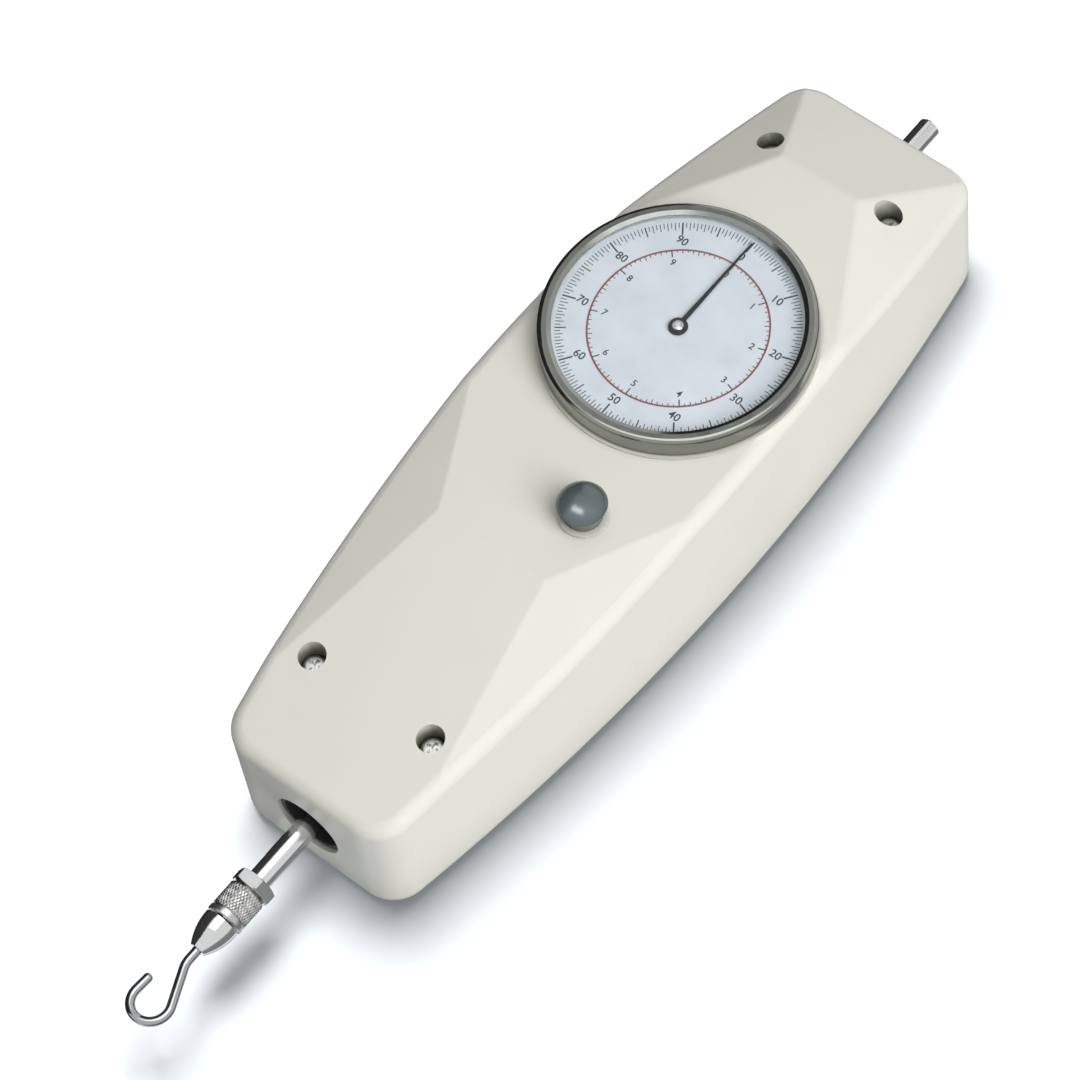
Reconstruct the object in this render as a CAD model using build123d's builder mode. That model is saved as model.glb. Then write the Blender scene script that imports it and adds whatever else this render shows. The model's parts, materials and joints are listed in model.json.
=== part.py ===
"""Analogue push-pull force gauge: a cast case, a sprung measuring shaft with a hook,
and a rack-and-gear movement that turns a pointer over a dial.

Frame: millimetres, the gauge lying on its back, +Z out of the dial, +Y from the hook
end towards the plain shaft end, origin in the middle of the back face.
"""
from build123d import *
from math import acos, asin, atan2, cos, pi, radians, sin, sqrt, tan
import os

# ---------------------------------------------------------------- driving dimensions
# case
case_length = 190.0
widest_width = 60.0
widest_y = 8.0
hook_end_width = 41.0
stub_end_width = 45.0
case_corner_radius = 8.0
wall = 3.0
split_z = 6.0
plateau_z = 42.0
hook_edge_z = 32.4
stub_edge_z = 31.0
back_edge_radius = 4.0
front_edge_radius = 3.0
low_crease_y = -34.3
low_crease_half = 13.5
neck_y = 71.4
neck_half = 9.7
hook_facet_end = (28.7, -4.8)
hook_facet_corner = (20.4, -88.9, 34.0)
stub_facet_end = (28.5, 38.8)
stub_facet_corner = (20.65, 93.3, 31.8)
lip_thickness = 1.2
lip_height = 2.0
lip_gap_width = 24.0

# shaft line
shaft_z = 16.4
shaft_diameter = 5.0
thread_radius = 2.45
hook_thread_length = 12.2
stub_thread_length = 10.0
relief_width = 1.2
relief_radius = 2.05
shaft_hook_reach = 22.2
shaft_stub_reach = 13.4
shaft_chamfer = 0.4
travel = 10.0
end_hole_radius = 7.75
bush_length = 8.0
bush_recess = 1.0
bush_flange_radius = 9.3
bush_flange_thickness = 2.0
bush_cup_radius = 6.7
bush_bearing_length = 4.0
stop_ring_radius = 4.5
stop_ring_thickness = 0.8
stop_clearance = 0.3

# hook and its coupling
nut_y_gap = 15.0
nut_across_flats = 8.0
nut_thickness = 2.7
nut_corner_drop = 0.36
sleeve_radius = 4.0
sleeve_length = 7.7
sleeve_chamfer = 0.7
sleeve_lip = 0.8
sleeve_groove_width = 0.5
sleeve_groove_depth = 0.35
sleeve_groove_inset = 1.1
swivel_gap = 0.5
swivel_stem_radius = 1.7
swivel_head_radius = 2.6
swivel_head_thickness = 1.2
nose_length = 7.2
nose_radius = 3.8
nose_tip_radius = 1.7
nose_flank_fall = 0.7
wire_radius = 1.0
hook_shank = 2.4
hook_lean_angle = 24.0
hook_lean_radius = 5.0
hook_lean_run = 8.2
hook_bowl_radius = 4.1
hook_bowl_angle = 208.0
hook_tip_run = 4.0

# springs on the shaft
spring_mean_radius = 4.6
spring_wire_radius = 0.6
spring_turns = 8
spring_seat_gap = 0.1
collar_width = 4.0
collar_radius = 6.0
collar_pin_radius = 0.75
collar_pin_half = 5.5

# chassis
chassis_thickness = 2.0
chassis_half_width = 9.4
chassis_wing = (-18.5, 22.8)
chassis_wing_margin = 3.4
lug_thickness = 4.0
lug_plate_gap = 0.5
chassis_bush_gap = 2.0
stop_lug_gap = 0.9
shaft_lug_clearance = 0.5
guide_rod_x = -8.5
guide_rod_radius = 1.5
guide_ear_radius = 3.0
chassis_screw_x = 6.0
chassis_screw_ys = (-68.0, 56.5)
chassis_screw_radius = 1.25

# case screws and mounting inserts
screw_x = 15.1
hook_screw_inset = 22.9
stub_screw_inset = 20.8
screw_column_radius = 4.6
counterbore_radius = 2.9
hook_screw_seat_z = 25.5
stub_screw_seat_z = 27.5
screw_head_radius = 2.6
screw_head_height = 2.0
screw_head_edge = 0.9
screw_shank_radius = 1.5
screw_hole_clearance = 0.2
cross_width = 0.75
cross_length = 3.0
cross_depth = 1.1
cross_taper = 10.0
screw_end_z = 1.2
insert_spacing_x = 30.0
insert_spacing_y = 120.0
insert_radius = 3.5
insert_thread_radius = 2.5
insert_length = 8.0
insert_wall = 1.7

# dial
dial_y = 25.0
dial_seat_height = 0.5
dial_seat_radius = 28.8
dial_ledge_radius = 20.0
dial_recess_radius = 24.2
dial_ledge_depth = 1.4
dial_cup_wall = 1.6
dial_floor_thickness = 1.0
dial_flange_radius = 27.0
dial_rim_height = 1.5
bezel_outer_radius = 28.2
bezel_wall = 1.1
bezel_height = 4.8
bezel_lip_radius = 25.3
bezel_lip_thickness = 0.7
bezel_edge_radius = 1.0
bezel_slope_width = 0.9
bezel_slope_height = 0.45
bezel_foot_chamfer = 0.3
bezel_lift = 0.3
glass_thickness = 0.8
dial_plate_thickness = 0.4
dial_plate_gap = 0.2
dial_hole_radius = 1.6
spacer_width = 1.0
retaining_ring_depth = 0.6
retaining_ring_width = 0.5
dial_screw_circle = 21.2
dial_screw_head_radius = 1.25
dial_screw_shank_radius = 0.8
dial_screw_head_height = 0.9
dial_floor_hole_radius = 2.5
ring_gap_width = 4.0
retaining_ring_rise = 0.7
running = 0.05
bezel_running = 0.1

# movement
plate_thickness = 1.5
lower_plate_z = 22.0
upper_plate_z = 35.0
plate_x = (-18.5, 23.4)
lower_plate_start_y = 15.0
upper_plate_start_y = 11.0
plate_end_y = 55.0
pillar_xs = (-15.0, 19.5)
pillar_ys = (19.0, 51.0)
post_radius = 2.5
pillar_radius = 2.0
spigot_radius = 1.0
plate_screw_head_radius = 2.0
plate_screw_head_height = 1.2
plate_screw_length = 4.0
slot_width = 0.6
intermediate_x = 10.0
rack_module = 0.5
rack_pinion_teeth = 16
gear_module = 0.4
large_gear_teeth = 60
centre_pinion_teeth = 24
pressure_angle = 20.0
addendum_factor = 0.8
dedendum_factor = 1.15
backlash = 0.07
rack_z = 24.2
rack_height = 2.8
rack_back_width = 2.45
rack_screw_radius = 0.7
rack_screw_head_radius = 1.15
rack_screw_head_height = 0.8
rack_screw_length = 2.5
rack_screw_spacing = 3.6
bracket_setback = 25.0
bracket_reach = 3.7
bracket_ring_radius = 5.0
bracket_eye_radius = 3.0
pinion_overlap = 0.3
rack_travel_margin = 3.0
large_gear_z = 29.5
large_gear_thickness = 1.2
gear_hub_radius = 3.5
gear_hub_height = 1.2
gear_windows = 5
gear_window_radius = 1.8
gear_window_circle = 6.2
centre_pinion_margin = 0.7
arbor_radius = 1.0
pivot_radius = 0.5
pointer_spindle_radius = 0.8
end_shake = 0.1
collet_z = 31.9
collet_height = 1.2
collet_radius = 1.5
hairspring_z = 32.2
hairspring_height = 0.6
hairspring_inner = 1.9
hairspring_outer = 5.1
hairspring_turns = 4
hairspring_strip = 0.2
stud_radius = 0.5
pointer_length = 24.1
pointer_shoulder_radius = 13.5
pointer_root_width = 1.5
pointer_shoulder_width = 1.1
pointer_tip_width = 0.25
pointer_thickness = 0.25
pointer_rise = 0.5
hub_radius = 2.0
hub_height = 0.75
hub_pin_rise = 0.15
hub_chamfer = 0.25
pointer_drop = 0.2

# button and release lever
button_x = 10.6
button_y = -18.6
button_travel = 3.0
button_cap_radius = 5.15
button_cap_height = 4.2
button_cap_lip = 1.0
cap_socket_depth = 0.6
button_neck_radius = 3.8
button_rest_gap = 0.4
button_stem_radius = 2.0
bush_cap_radius = 5.0
bush_cap_height = 0.6
bush_body_radius = 4.6
bush_floor_z = 33.6
bush_floor_thickness = 1.2
button_shoulder_z = 41.0
button_clip_radius = 2.9
button_clip_thickness = 0.35
button_spring_mean_radius = 2.9
button_spring_wire_radius = 0.25
button_spring_turns = 4
stem_end_gap = 0.3
lever_z = 31.6
lever_thickness = 1.2
lever_width = 6.0
lever_pivot_y = 13.0
lever_ends = (-22.0, 31.0)
lever_side_gap = 0.3
lever_pin_radius = 0.8
lever_eye_radius = 1.4
ear_thickness = 0.9
ear_length = 3.0
brake_pad_y = 28.8
brake_pad_radius = 1.6

# ---------------------------------------------------------------- derived places
hook_y = -case_length / 2
stub_y = case_length / 2
ceiling_z = plateau_z - wall
seat_z = plateau_z + dial_seat_height
ledge_z = plateau_z - dial_ledge_depth
shaft_radius = shaft_diameter / 2
shaft_axis = Axis((0, 0, shaft_z), (0, 1, 0))
dial_axis = Axis((0, dial_y, 0), (0, 0, 1))
button_axis = Axis((button_x, button_y, 0), (0, 0, 1))
shaft_section = Plane(origin=(0, 0, shaft_z), x_dir=(0, 1, 0), z_dir=(1, 0, 0))
dial_section = Plane(origin=(0, dial_y, 0), x_dir=(1, 0, 0), z_dir=(0, -1, 0))
button_section = Plane(origin=(button_x, button_y, 0), x_dir=(1, 0, 0), z_dir=(0, -1, 0))

rack_pitch_radius = rack_module * rack_pinion_teeth / 2
large_pitch_radius = gear_module * large_gear_teeth / 2
centre_pitch_radius = gear_module * centre_pinion_teeth / 2
gear_centres = large_pitch_radius + centre_pitch_radius
intermediate_y = dial_y + sqrt(gear_centres ** 2 - intermediate_x ** 2)
rack_pitch = pi * rack_module
rack_line_x = intermediate_x - rack_pitch_radius
rack_root_x = rack_line_x - dedendum_factor * rack_module
rack_back_x = rack_root_x - rack_back_width
rack_side_teeth = int((travel + rack_travel_margin) / rack_pitch) + 1
rack_end_y = intermediate_y + (rack_side_teeth + 0.5) * rack_pitch

screw_ys = (hook_y + hook_screw_inset, stub_y - stub_screw_inset)
screw_places = [(side * screw_x, y) for side in (-1, 1) for y in screw_ys]
insert_places = [
    (sx * insert_spacing_x / 2, sy * insert_spacing_y / 2) for sx in (-1, 1) for sy in (-1, 1)
]
pillar_places = [(x, y) for x in pillar_xs for y in pillar_ys]
chassis_screw_places = [(side * chassis_screw_x, y) for side in (-1, 1) for y in chassis_screw_ys]
bush_end = bush_recess + bush_length
stop_ring_y = stub_y - bush_end - travel - stop_clearance - stop_ring_thickness
bracket_y = dial_y - bracket_setback
chassis_z = wall
chassis_top_z = chassis_z + chassis_thickness
chassis_start_y = hook_y + bush_end + chassis_bush_gap
stub_lug_y = stop_ring_y - travel - stop_lug_gap - lug_thickness
chassis_end_y = stub_lug_y + lug_thickness
lug_top_z = lower_plate_z - lug_plate_gap
pull_lug_y = chassis_start_y + lug_thickness
push_lug_y = bracket_y - bracket_reach - travel - stop_clearance - lug_thickness
spring_length = (push_lug_y - pull_lug_y - collar_width) / 2
collar_y = pull_lug_y + spring_length + collar_width / 2
rack_screw_places = [
    ((rack_back_x + rack_root_x) / 2, bracket_y + side * rack_screw_spacing / 2)
    for side in (-1, 1)
]
dial_screw_places = [
    (dial_screw_circle * cos(angle), dial_y + dial_screw_circle * sin(angle))
    for angle in (pi / 2, pi * 7 / 6, pi * 11 / 6)
]
cup_rim_z = seat_z + dial_rim_height
dial_plate_top_z = cup_rim_z + dial_plate_gap + dial_plate_thickness
bezel_low_z = seat_z + bezel_lift
bezel_top_z = bezel_low_z + bezel_height
glass_top_z = bezel_top_z - bezel_lip_thickness
cap_low_z = plateau_z + bush_cap_height + button_travel + button_rest_gap
cap_top_z = cap_low_z + button_cap_height
dome_rise = button_cap_height - button_cap_lip
dome_radius = (button_cap_radius ** 2 + dome_rise ** 2) / (2 * dome_rise)
dome_half_angle = asin(button_cap_radius / dome_radius) / 2


# ---------------------------------------------------------------- shared shapes
def across(y):
    """Plane square to the shaft at a place along it, facing the stub end."""
    return Plane(origin=(0, y, shaft_z), x_dir=(1, 0, 0), z_dir=(0, 1, 0))


def level(x, y, z):
    """Level plane centred over a point of the back face."""
    return Plane(origin=(x, y, z))


def plane_through(first, second, third):
    """Plane through three points of a facet, facing up and outwards."""
    a, b, c = Vector(*first), Vector(*second), Vector(*third)
    normal = (b - a).cross(c - a)
    if normal.Z < 0:
        normal = -normal
    return Plane(origin=a, z_dir=normal)


def facet_planes():
    """The two end slopes and the four long facets that cut the case front."""
    planes = [
        plane_through((0, low_crease_y, plateau_z), (1, low_crease_y, plateau_z), (0, hook_y, hook_edge_z)),
        plane_through((0, neck_y, plateau_z), (1, neck_y, plateau_z), (0, stub_y, stub_edge_z)),
    ]
    for side in (-1, 1):
        for start, end, corner in (
            ((low_crease_half, low_crease_y), hook_facet_end, hook_facet_corner),
            ((neck_half, neck_y), stub_facet_end, stub_facet_corner),
        ):
            planes.append(
                plane_through(
                    (side * start[0], start[1], plateau_z),
                    (side * end[0], end[1], plateau_z),
                    (side * corner[0], corner[1], corner[2]),
                )
            )
    return planes


def case_plan(z, inset):
    """Plan outline of the case on a level plane, drawn in by an inset."""
    apex = (widest_width / 2, widest_y)
    with BuildSketch(Plane.XY.offset(z)) as plan:
        with BuildLine():
            TangentArc(apex, (hook_end_width / 2, hook_y), tangent=(0, -1))
            TangentArc(apex, (stub_end_width / 2, stub_y), tangent=(0, 1))
            Line((0, hook_y), (hook_end_width / 2, hook_y))
            Line((0, stub_y), (stub_end_width / 2, stub_y))
            mirror(about=Plane.YZ)
        make_face()
        corners = plan.vertices().group_by(Axis.Y)[0] + plan.vertices().group_by(Axis.Y)[-1]
        fillet(corners.filter_by(lambda v: abs(v.X) > 1), case_corner_radius)
        if inset:
            offset(amount=-inset, mode=Mode.REPLACE)
    return plan.sketch


def rim_edges(part, floor_z):
    """Edges where the side walls meet the faceted front."""
    rim = ShapeList()
    for face in part.faces().filter_by(lambda f: abs(f.normal_at().Z) < 0.001):
        for edge in face.edges():
            if edge.center().Z > floor_z + 1 and abs(edge.tangent_at(0.5).Z) < 0.9:
                rim.append(edge)
    return rim


def crease_edges(part, floor_z):
    """Edges between the faces of the faceted front, without the outer rim."""
    rim_centres = [edge.center() for edge in rim_edges(part, floor_z)]
    return part.edges().filter_by(
        lambda e: e.center().Z > floor_z + 1
        and abs(e.tangent_at(0.5).Z) < 0.9
        and all((e.center() - centre).length > 0.001 for centre in rim_centres)
    )


def tooth_angle(radius, pitch_radius, teeth):
    """Half angle of an involute tooth at a radius, thinned by the backlash."""
    base_radius = pitch_radius * cos(radians(pressure_angle))
    at_pitch = tan(radians(pressure_angle)) - radians(pressure_angle)
    slope = acos(min(1.0, base_radius / radius))
    return pi / (2 * teeth) - backlash / (2 * pitch_radius) + at_pitch - (tan(slope) - slope)


def gear_outline(teeth, module_size, phase):
    """Corner points of a spur gear whose first tooth stands at a phase angle."""
    pitch_radius = teeth * module_size / 2
    tip = pitch_radius + addendum_factor * module_size
    root = pitch_radius - dedendum_factor * module_size
    base = pitch_radius * cos(radians(pressure_angle))
    flank = [root, max(base, (root + pitch_radius) / 2), pitch_radius, tip]
    points = []
    for tooth in range(teeth):
        centre = phase + tooth * 2 * pi / teeth
        rising = [(r, centre - tooth_angle(r, pitch_radius, teeth)) for r in flank]
        falling = [(r, centre + tooth_angle(r, pitch_radius, teeth)) for r in reversed(flank)]
        points += [(r * cos(a), r * sin(a)) for r, a in rising + falling]
    return points


def write(builder, name):
    """Label a finished piece and write it as its own STEP file."""
    builder.part.label = name
    export_step(builder.part, f"parts/{name}.step")


os.makedirs("parts", exist_ok=True)

# ---------------------------------------------------------------- front case
# hollow inside, following the outer facets one wall lower
with BuildPart() as case_hollow:
    add(case_plan(split_z, wall))
    extrude(amount=ceiling_z - split_z)
    for plane in facet_planes():
        split(bisect_by=plane.offset(-wall), keep=Keep.BOTTOM)

# solid columns for the case screws, from the front down to the seam
with BuildPart() as screw_columns:
    with BuildSketch(Plane.XY.offset(split_z)):
        with Locations(screw_places):
            Circle(screw_column_radius)
    extrude(amount=plateau_z - split_z)
    for plane in facet_planes():
        split(bisect_by=plane.offset(-wall / 2), keep=Keep.BOTTOM)

# raised round seat under the dial, trimmed to the side walls
with BuildPart() as dial_seat:
    add(case_plan(ceiling_z, 0))
    extrude(amount=seat_z - ceiling_z)
    with BuildSketch(level(0, dial_y, ceiling_z)):
        Circle(dial_seat_radius)
        Circle(dial_recess_radius, mode=Mode.SUBTRACT)
    extrude(amount=seat_z - ceiling_z, mode=Mode.INTERSECT)

with BuildPart() as front_case:
    # closed faceted block with softened creases and rim
    add(case_plan(split_z, 0))
    extrude(amount=plateau_z - split_z)
    for plane in facet_planes():
        split(bisect_by=plane, keep=Keep.BOTTOM)
    fillet(crease_edges(front_case.part, split_z), front_edge_radius)
    fillet(rim_edges(front_case.part, split_z), front_edge_radius)
    add(case_hollow.part, mode=Mode.SUBTRACT)
    add(screw_columns.part)
    for x, y in screw_places:
        head_seat_z = hook_screw_seat_z if y < 0 else stub_screw_seat_z
        with BuildSketch(level(x, y, head_seat_z)):
            Circle(counterbore_radius)
        extrude(amount=plateau_z - head_seat_z, mode=Mode.SUBTRACT)
        with BuildSketch(level(x, y, split_z)):
            Circle(screw_shank_radius + screw_hole_clearance)
        extrude(amount=head_seat_z - split_z, mode=Mode.SUBTRACT)
    add(dial_seat.part)
    with BuildSketch(level(0, dial_y, ceiling_z)):
        Circle(dial_ledge_radius)
    extrude(amount=wall, mode=Mode.SUBTRACT)
    with BuildSketch(level(0, dial_y, ledge_z)):
        Circle(dial_recess_radius)
    extrude(amount=seat_z - ledge_z, mode=Mode.SUBTRACT)
    for x, y in dial_screw_places:
        with BuildSketch(level(x, y, ceiling_z)):
            Circle(dial_screw_shank_radius + running)
        extrude(amount=wall, mode=Mode.SUBTRACT)
    # round openings for the button bush and for the shaft bushes
    with BuildSketch(level(button_x, button_y, ceiling_z)):
        Circle(bush_body_radius + running)
    extrude(amount=wall, mode=Mode.SUBTRACT)
    for y in (hook_y, stub_y - wall):
        with BuildSketch(across(y)):
            Circle(end_hole_radius)
        extrude(amount=wall, mode=Mode.SUBTRACT)
write(front_case, "front_case")

# ---------------------------------------------------------------- rear case
# locating lip just inside the front case, open at both shaft ends
with BuildPart() as case_lip:
    add(case_plan(split_z, wall + bezel_running))
    extrude(amount=lip_height)
    add(case_plan(split_z, wall + lip_thickness))
    extrude(amount=lip_height, mode=Mode.SUBTRACT)
    with BuildSketch(Plane.XY.offset(split_z)):
        Rectangle(lip_gap_width, case_length)
        with Locations(screw_places):
            Circle(screw_column_radius + bezel_running)
    extrude(amount=lip_height, mode=Mode.SUBTRACT)

with BuildPart() as rear_case:
    add(case_plan(0, 0))
    extrude(amount=split_z)
    fillet(rear_case.edges().group_by(Axis.Z)[0], back_edge_radius)
    add(case_plan(wall, wall + lip_thickness))
    extrude(amount=split_z - wall, mode=Mode.SUBTRACT)
    add(case_lip.part)
    # bosses for the case screws and for the stand inserts
    with BuildSketch(Plane.XY.offset(wall)):
        with Locations(screw_places):
            Circle(screw_column_radius)
    extrude(amount=split_z - wall)
    with BuildSketch(Plane.XY.offset(wall)):
        with Locations(insert_places):
            Circle(insert_radius + insert_wall)
    extrude(amount=insert_length - wall)
    with BuildSketch(Plane.XY):
        with Locations(insert_places):
            Circle(insert_radius)
    extrude(amount=insert_length, mode=Mode.SUBTRACT)
    with BuildSketch(Plane.XY.offset(screw_end_z)):
        with Locations(screw_places):
            Circle(screw_shank_radius)
        with Locations(chassis_screw_places):
            Circle(chassis_screw_radius)
    extrude(amount=split_z - screw_end_z, mode=Mode.SUBTRACT)
write(rear_case, "rear_case")

with BuildPart() as mounting_inserts:
    with BuildSketch(Plane.XY):
        with Locations(insert_places):
            Circle(insert_radius)
            Circle(insert_thread_radius, mode=Mode.SUBTRACT)
    extrude(amount=insert_length)
write(mounting_inserts, "mounting_inserts")

with BuildPart() as case_screws:
    for x, y in screw_places:
        head_seat_z = hook_screw_seat_z if y < 0 else stub_screw_seat_z
        with BuildSketch(level(x, y, screw_end_z)):
            Circle(screw_shank_radius)
        extrude(amount=head_seat_z - screw_end_z)
        with BuildSketch(level(x, y, head_seat_z)):
            Circle(screw_head_radius)
        extrude(amount=screw_head_height)
    head_rims = case_screws.edges().filter_by(GeomType.CIRCLE).filter_by(
        lambda e: abs(e.radius - screw_head_radius) < 0.001
    )
    top_rims = [
        max(head_rims.filter_by(lambda e: (e.arc_center - Vector(x, y, e.arc_center.Z)).length < 1),
            key=lambda e: e.arc_center.Z)
        for x, y in screw_places
    ]
    fillet(top_rims, screw_head_edge)
    for x, y in screw_places:
        head_seat_z = hook_screw_seat_z if y < 0 else stub_screw_seat_z
        with BuildSketch(level(x, y, head_seat_z + screw_head_height)):
            Rectangle(cross_length, cross_width)
            Rectangle(cross_width, cross_length)
        extrude(amount=-cross_depth, taper=cross_taper, mode=Mode.SUBTRACT)
write(case_screws, "case_screws")

# ---------------------------------------------------------------- shaft bushes
for name, face_y, inward in (("guide_bush_hook", hook_y, 1), ("guide_bush_stub", stub_y, -1)):
    front_y = face_y + inward * bush_recess
    inner_y = front_y + inward * bush_length
    cup_floor_y = inner_y - inward * bush_bearing_length
    shoulder_y = face_y + inward * wall
    flange_y = shoulder_y + inward * bush_flange_thickness
    bush_outer = end_hole_radius - running
    with BuildPart() as bush:
        with BuildSketch(shaft_section):
            with BuildLine():
                Polyline(
                    (front_y, bush_outer),
                    (shoulder_y, bush_outer),
                    (shoulder_y, bush_flange_radius),
                    (flange_y, bush_flange_radius),
                    (flange_y, bush_outer),
                    (inner_y, bush_outer),
                    (inner_y, shaft_radius + running),
                    (cup_floor_y, shaft_radius + running),
                    (cup_floor_y, bush_cup_radius),
                    (front_y, bush_cup_radius),
                    close=True,
                )
            make_face()
        revolve(axis=shaft_axis)
    write(bush, name)

# ---------------------------------------------------------------- chassis
with BuildPart() as chassis:
    with BuildSketch(Plane.XY.offset(chassis_z)):
        with Locations((0, (chassis_start_y + chassis_end_y) / 2)):
            Rectangle(2 * chassis_half_width, chassis_end_y - chassis_start_y)
        with Locations((sum(chassis_wing) / 2, sum(pillar_ys) / 2)):
            Rectangle(
                chassis_wing[1] - chassis_wing[0],
                pillar_ys[1] - pillar_ys[0] + 2 * chassis_wing_margin,
            )
        with Locations(chassis_screw_places):
            Circle(chassis_screw_radius + running, mode=Mode.SUBTRACT)
        with Locations(pillar_places):
            Circle(spigot_radius + running, mode=Mode.SUBTRACT)
    extrude(amount=chassis_thickness)
    # upright lugs for the springs and the shaft, two of them with an ear for the guide rod
    for start_y in (chassis_start_y, push_lug_y, stub_lug_y):
        with BuildSketch(Plane.XY.offset(chassis_z)):
            with Locations((0, start_y + lug_thickness / 2)):
                Rectangle(2 * chassis_half_width, lug_thickness)
        extrude(amount=lug_top_z - chassis_z)
    for start_y in (push_lug_y, stub_lug_y):
        with BuildSketch(across(start_y)):
            with Locations((guide_rod_x, 0)):
                Circle(guide_ear_radius)
        extrude(amount=lug_thickness)
    with BuildSketch(across(chassis_start_y)):
        Circle(shaft_radius + shaft_lug_clearance)
    extrude(amount=chassis_end_y - chassis_start_y, mode=Mode.SUBTRACT)
    with BuildSketch(across(push_lug_y)):
        with Locations((guide_rod_x, 0)):
            Circle(guide_rod_radius)
    extrude(amount=chassis_end_y - push_lug_y, mode=Mode.SUBTRACT)
write(chassis, "chassis")

with BuildPart() as guide_rod:
    with BuildSketch(across(push_lug_y)):
        with Locations((guide_rod_x, 0)):
            Circle(guide_rod_radius)
    extrude(amount=chassis_end_y - push_lug_y)
write(guide_rod, "guide_rod")

with BuildPart() as chassis_screws:
    with BuildSketch(Plane.XY.offset(screw_end_z)):
        with Locations(chassis_screw_places):
            Circle(chassis_screw_radius)
    extrude(amount=chassis_top_z - screw_end_z)
    with BuildSketch(Plane.XY.offset(chassis_top_z)):
        with Locations(chassis_screw_places):
            Circle(plate_screw_head_radius)
    extrude(amount=plate_screw_head_height)
write(chassis_screws, "chassis_screws")

# ---------------------------------------------------------------- movement frame
with BuildPart() as movement_posts:
    with BuildSketch(Plane.XY.offset(chassis_top_z)):
        with Locations(pillar_places):
            Circle(post_radius)
            Circle(spigot_radius + running, mode=Mode.SUBTRACT)
    extrude(amount=lower_plate_z - chassis_top_z)
write(movement_posts, "movement_posts")

lower_plate_top_z = lower_plate_z + plate_thickness
with BuildPart() as movement_plate_lower:
    with BuildSketch(Plane.XY.offset(lower_plate_z)):
        with Locations((sum(plate_x) / 2, (lower_plate_start_y + plate_end_y) / 2)):
            Rectangle(plate_x[1] - plate_x[0], plate_end_y - lower_plate_start_y)
        with Locations(pillar_places):
            Circle(spigot_radius + running, mode=Mode.SUBTRACT)
        with Locations((0, dial_y), (intermediate_x, intermediate_y)):
            Circle(pivot_radius + running, mode=Mode.SUBTRACT)
    extrude(amount=plate_thickness)
    fillet(movement_plate_lower.edges().filter_by(Axis.Z).group_by(Axis.Y)[0], post_radius)
write(movement_plate_lower, "movement_plate_lower")

ear_centre_z = lever_z + lever_thickness / 2
ear_inner = lever_width / 2 + lever_side_gap
with BuildPart() as movement_plate_upper:
    with BuildSketch(Plane.XY.offset(upper_plate_z)):
        with Locations((sum(plate_x) / 2, (upper_plate_start_y + plate_end_y) / 2)):
            Rectangle(plate_x[1] - plate_x[0], plate_end_y - upper_plate_start_y)
        with Locations(pillar_places):
            Circle(spigot_radius + running, mode=Mode.SUBTRACT)
        with Locations((0, dial_y)):
            Circle(pointer_spindle_radius + running, mode=Mode.SUBTRACT)
        with Locations((intermediate_x, intermediate_y)):
            Circle(pivot_radius + running, mode=Mode.SUBTRACT)
    extrude(amount=plate_thickness)
    # two ears bent down to carry the release lever
    for side in (-1, 1):
        ear_x = button_x + side * (ear_inner + ear_thickness / 2)
        with BuildSketch(Plane.XY.offset(upper_plate_z)):
            with Locations((ear_x, lever_pivot_y)):
                Rectangle(ear_thickness, ear_length)
        extrude(amount=ear_centre_z - ear_length / 2 - upper_plate_z)
    with BuildSketch(Plane(origin=(button_x, lever_pivot_y, ear_centre_z), z_dir=(1, 0, 0))):
        Circle(lever_pin_radius)
    extrude(amount=ear_inner + ear_thickness, both=True, mode=Mode.SUBTRACT)
write(movement_plate_upper, "movement_plate_upper")

with BuildPart() as movement_pillars:
    with BuildSketch(Plane.XY.offset(chassis_z)):
        with Locations(pillar_places):
            Circle(spigot_radius)
    extrude(amount=lower_plate_top_z - chassis_z)
    with BuildSketch(Plane.XY.offset(lower_plate_top_z)):
        with Locations(pillar_places):
            Circle(pillar_radius)
            Circle(spigot_radius + running, mode=Mode.SUBTRACT)
    extrude(amount=upper_plate_z - lower_plate_top_z)
    with BuildSketch(Plane.XY.offset(lower_plate_top_z)):
        with Locations(pillar_places):
            Circle(pillar_radius)
    extrude(amount=pillar_radius)
write(movement_pillars, "movement_pillars")

upper_plate_top_z = upper_plate_z + plate_thickness
with BuildPart() as movement_screws:
    with BuildSketch(Plane.XY.offset(upper_plate_z - plate_screw_length)):
        with Locations(pillar_places):
            Circle(spigot_radius)
    extrude(amount=plate_screw_length + plate_thickness)
    with BuildSketch(Plane.XY.offset(upper_plate_top_z)):
        with Locations(pillar_places):
            Circle(plate_screw_head_radius)
            Rectangle(2 * plate_screw_head_radius, slot_width, mode=Mode.SUBTRACT)
    extrude(amount=plate_screw_head_height)
    with BuildSketch(Plane.XY.offset(upper_plate_top_z)):
        with Locations(pillar_places):
            Circle(plate_screw_head_radius)
    extrude(amount=plate_screw_head_height / 2)
write(movement_screws, "movement_screws")

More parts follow.
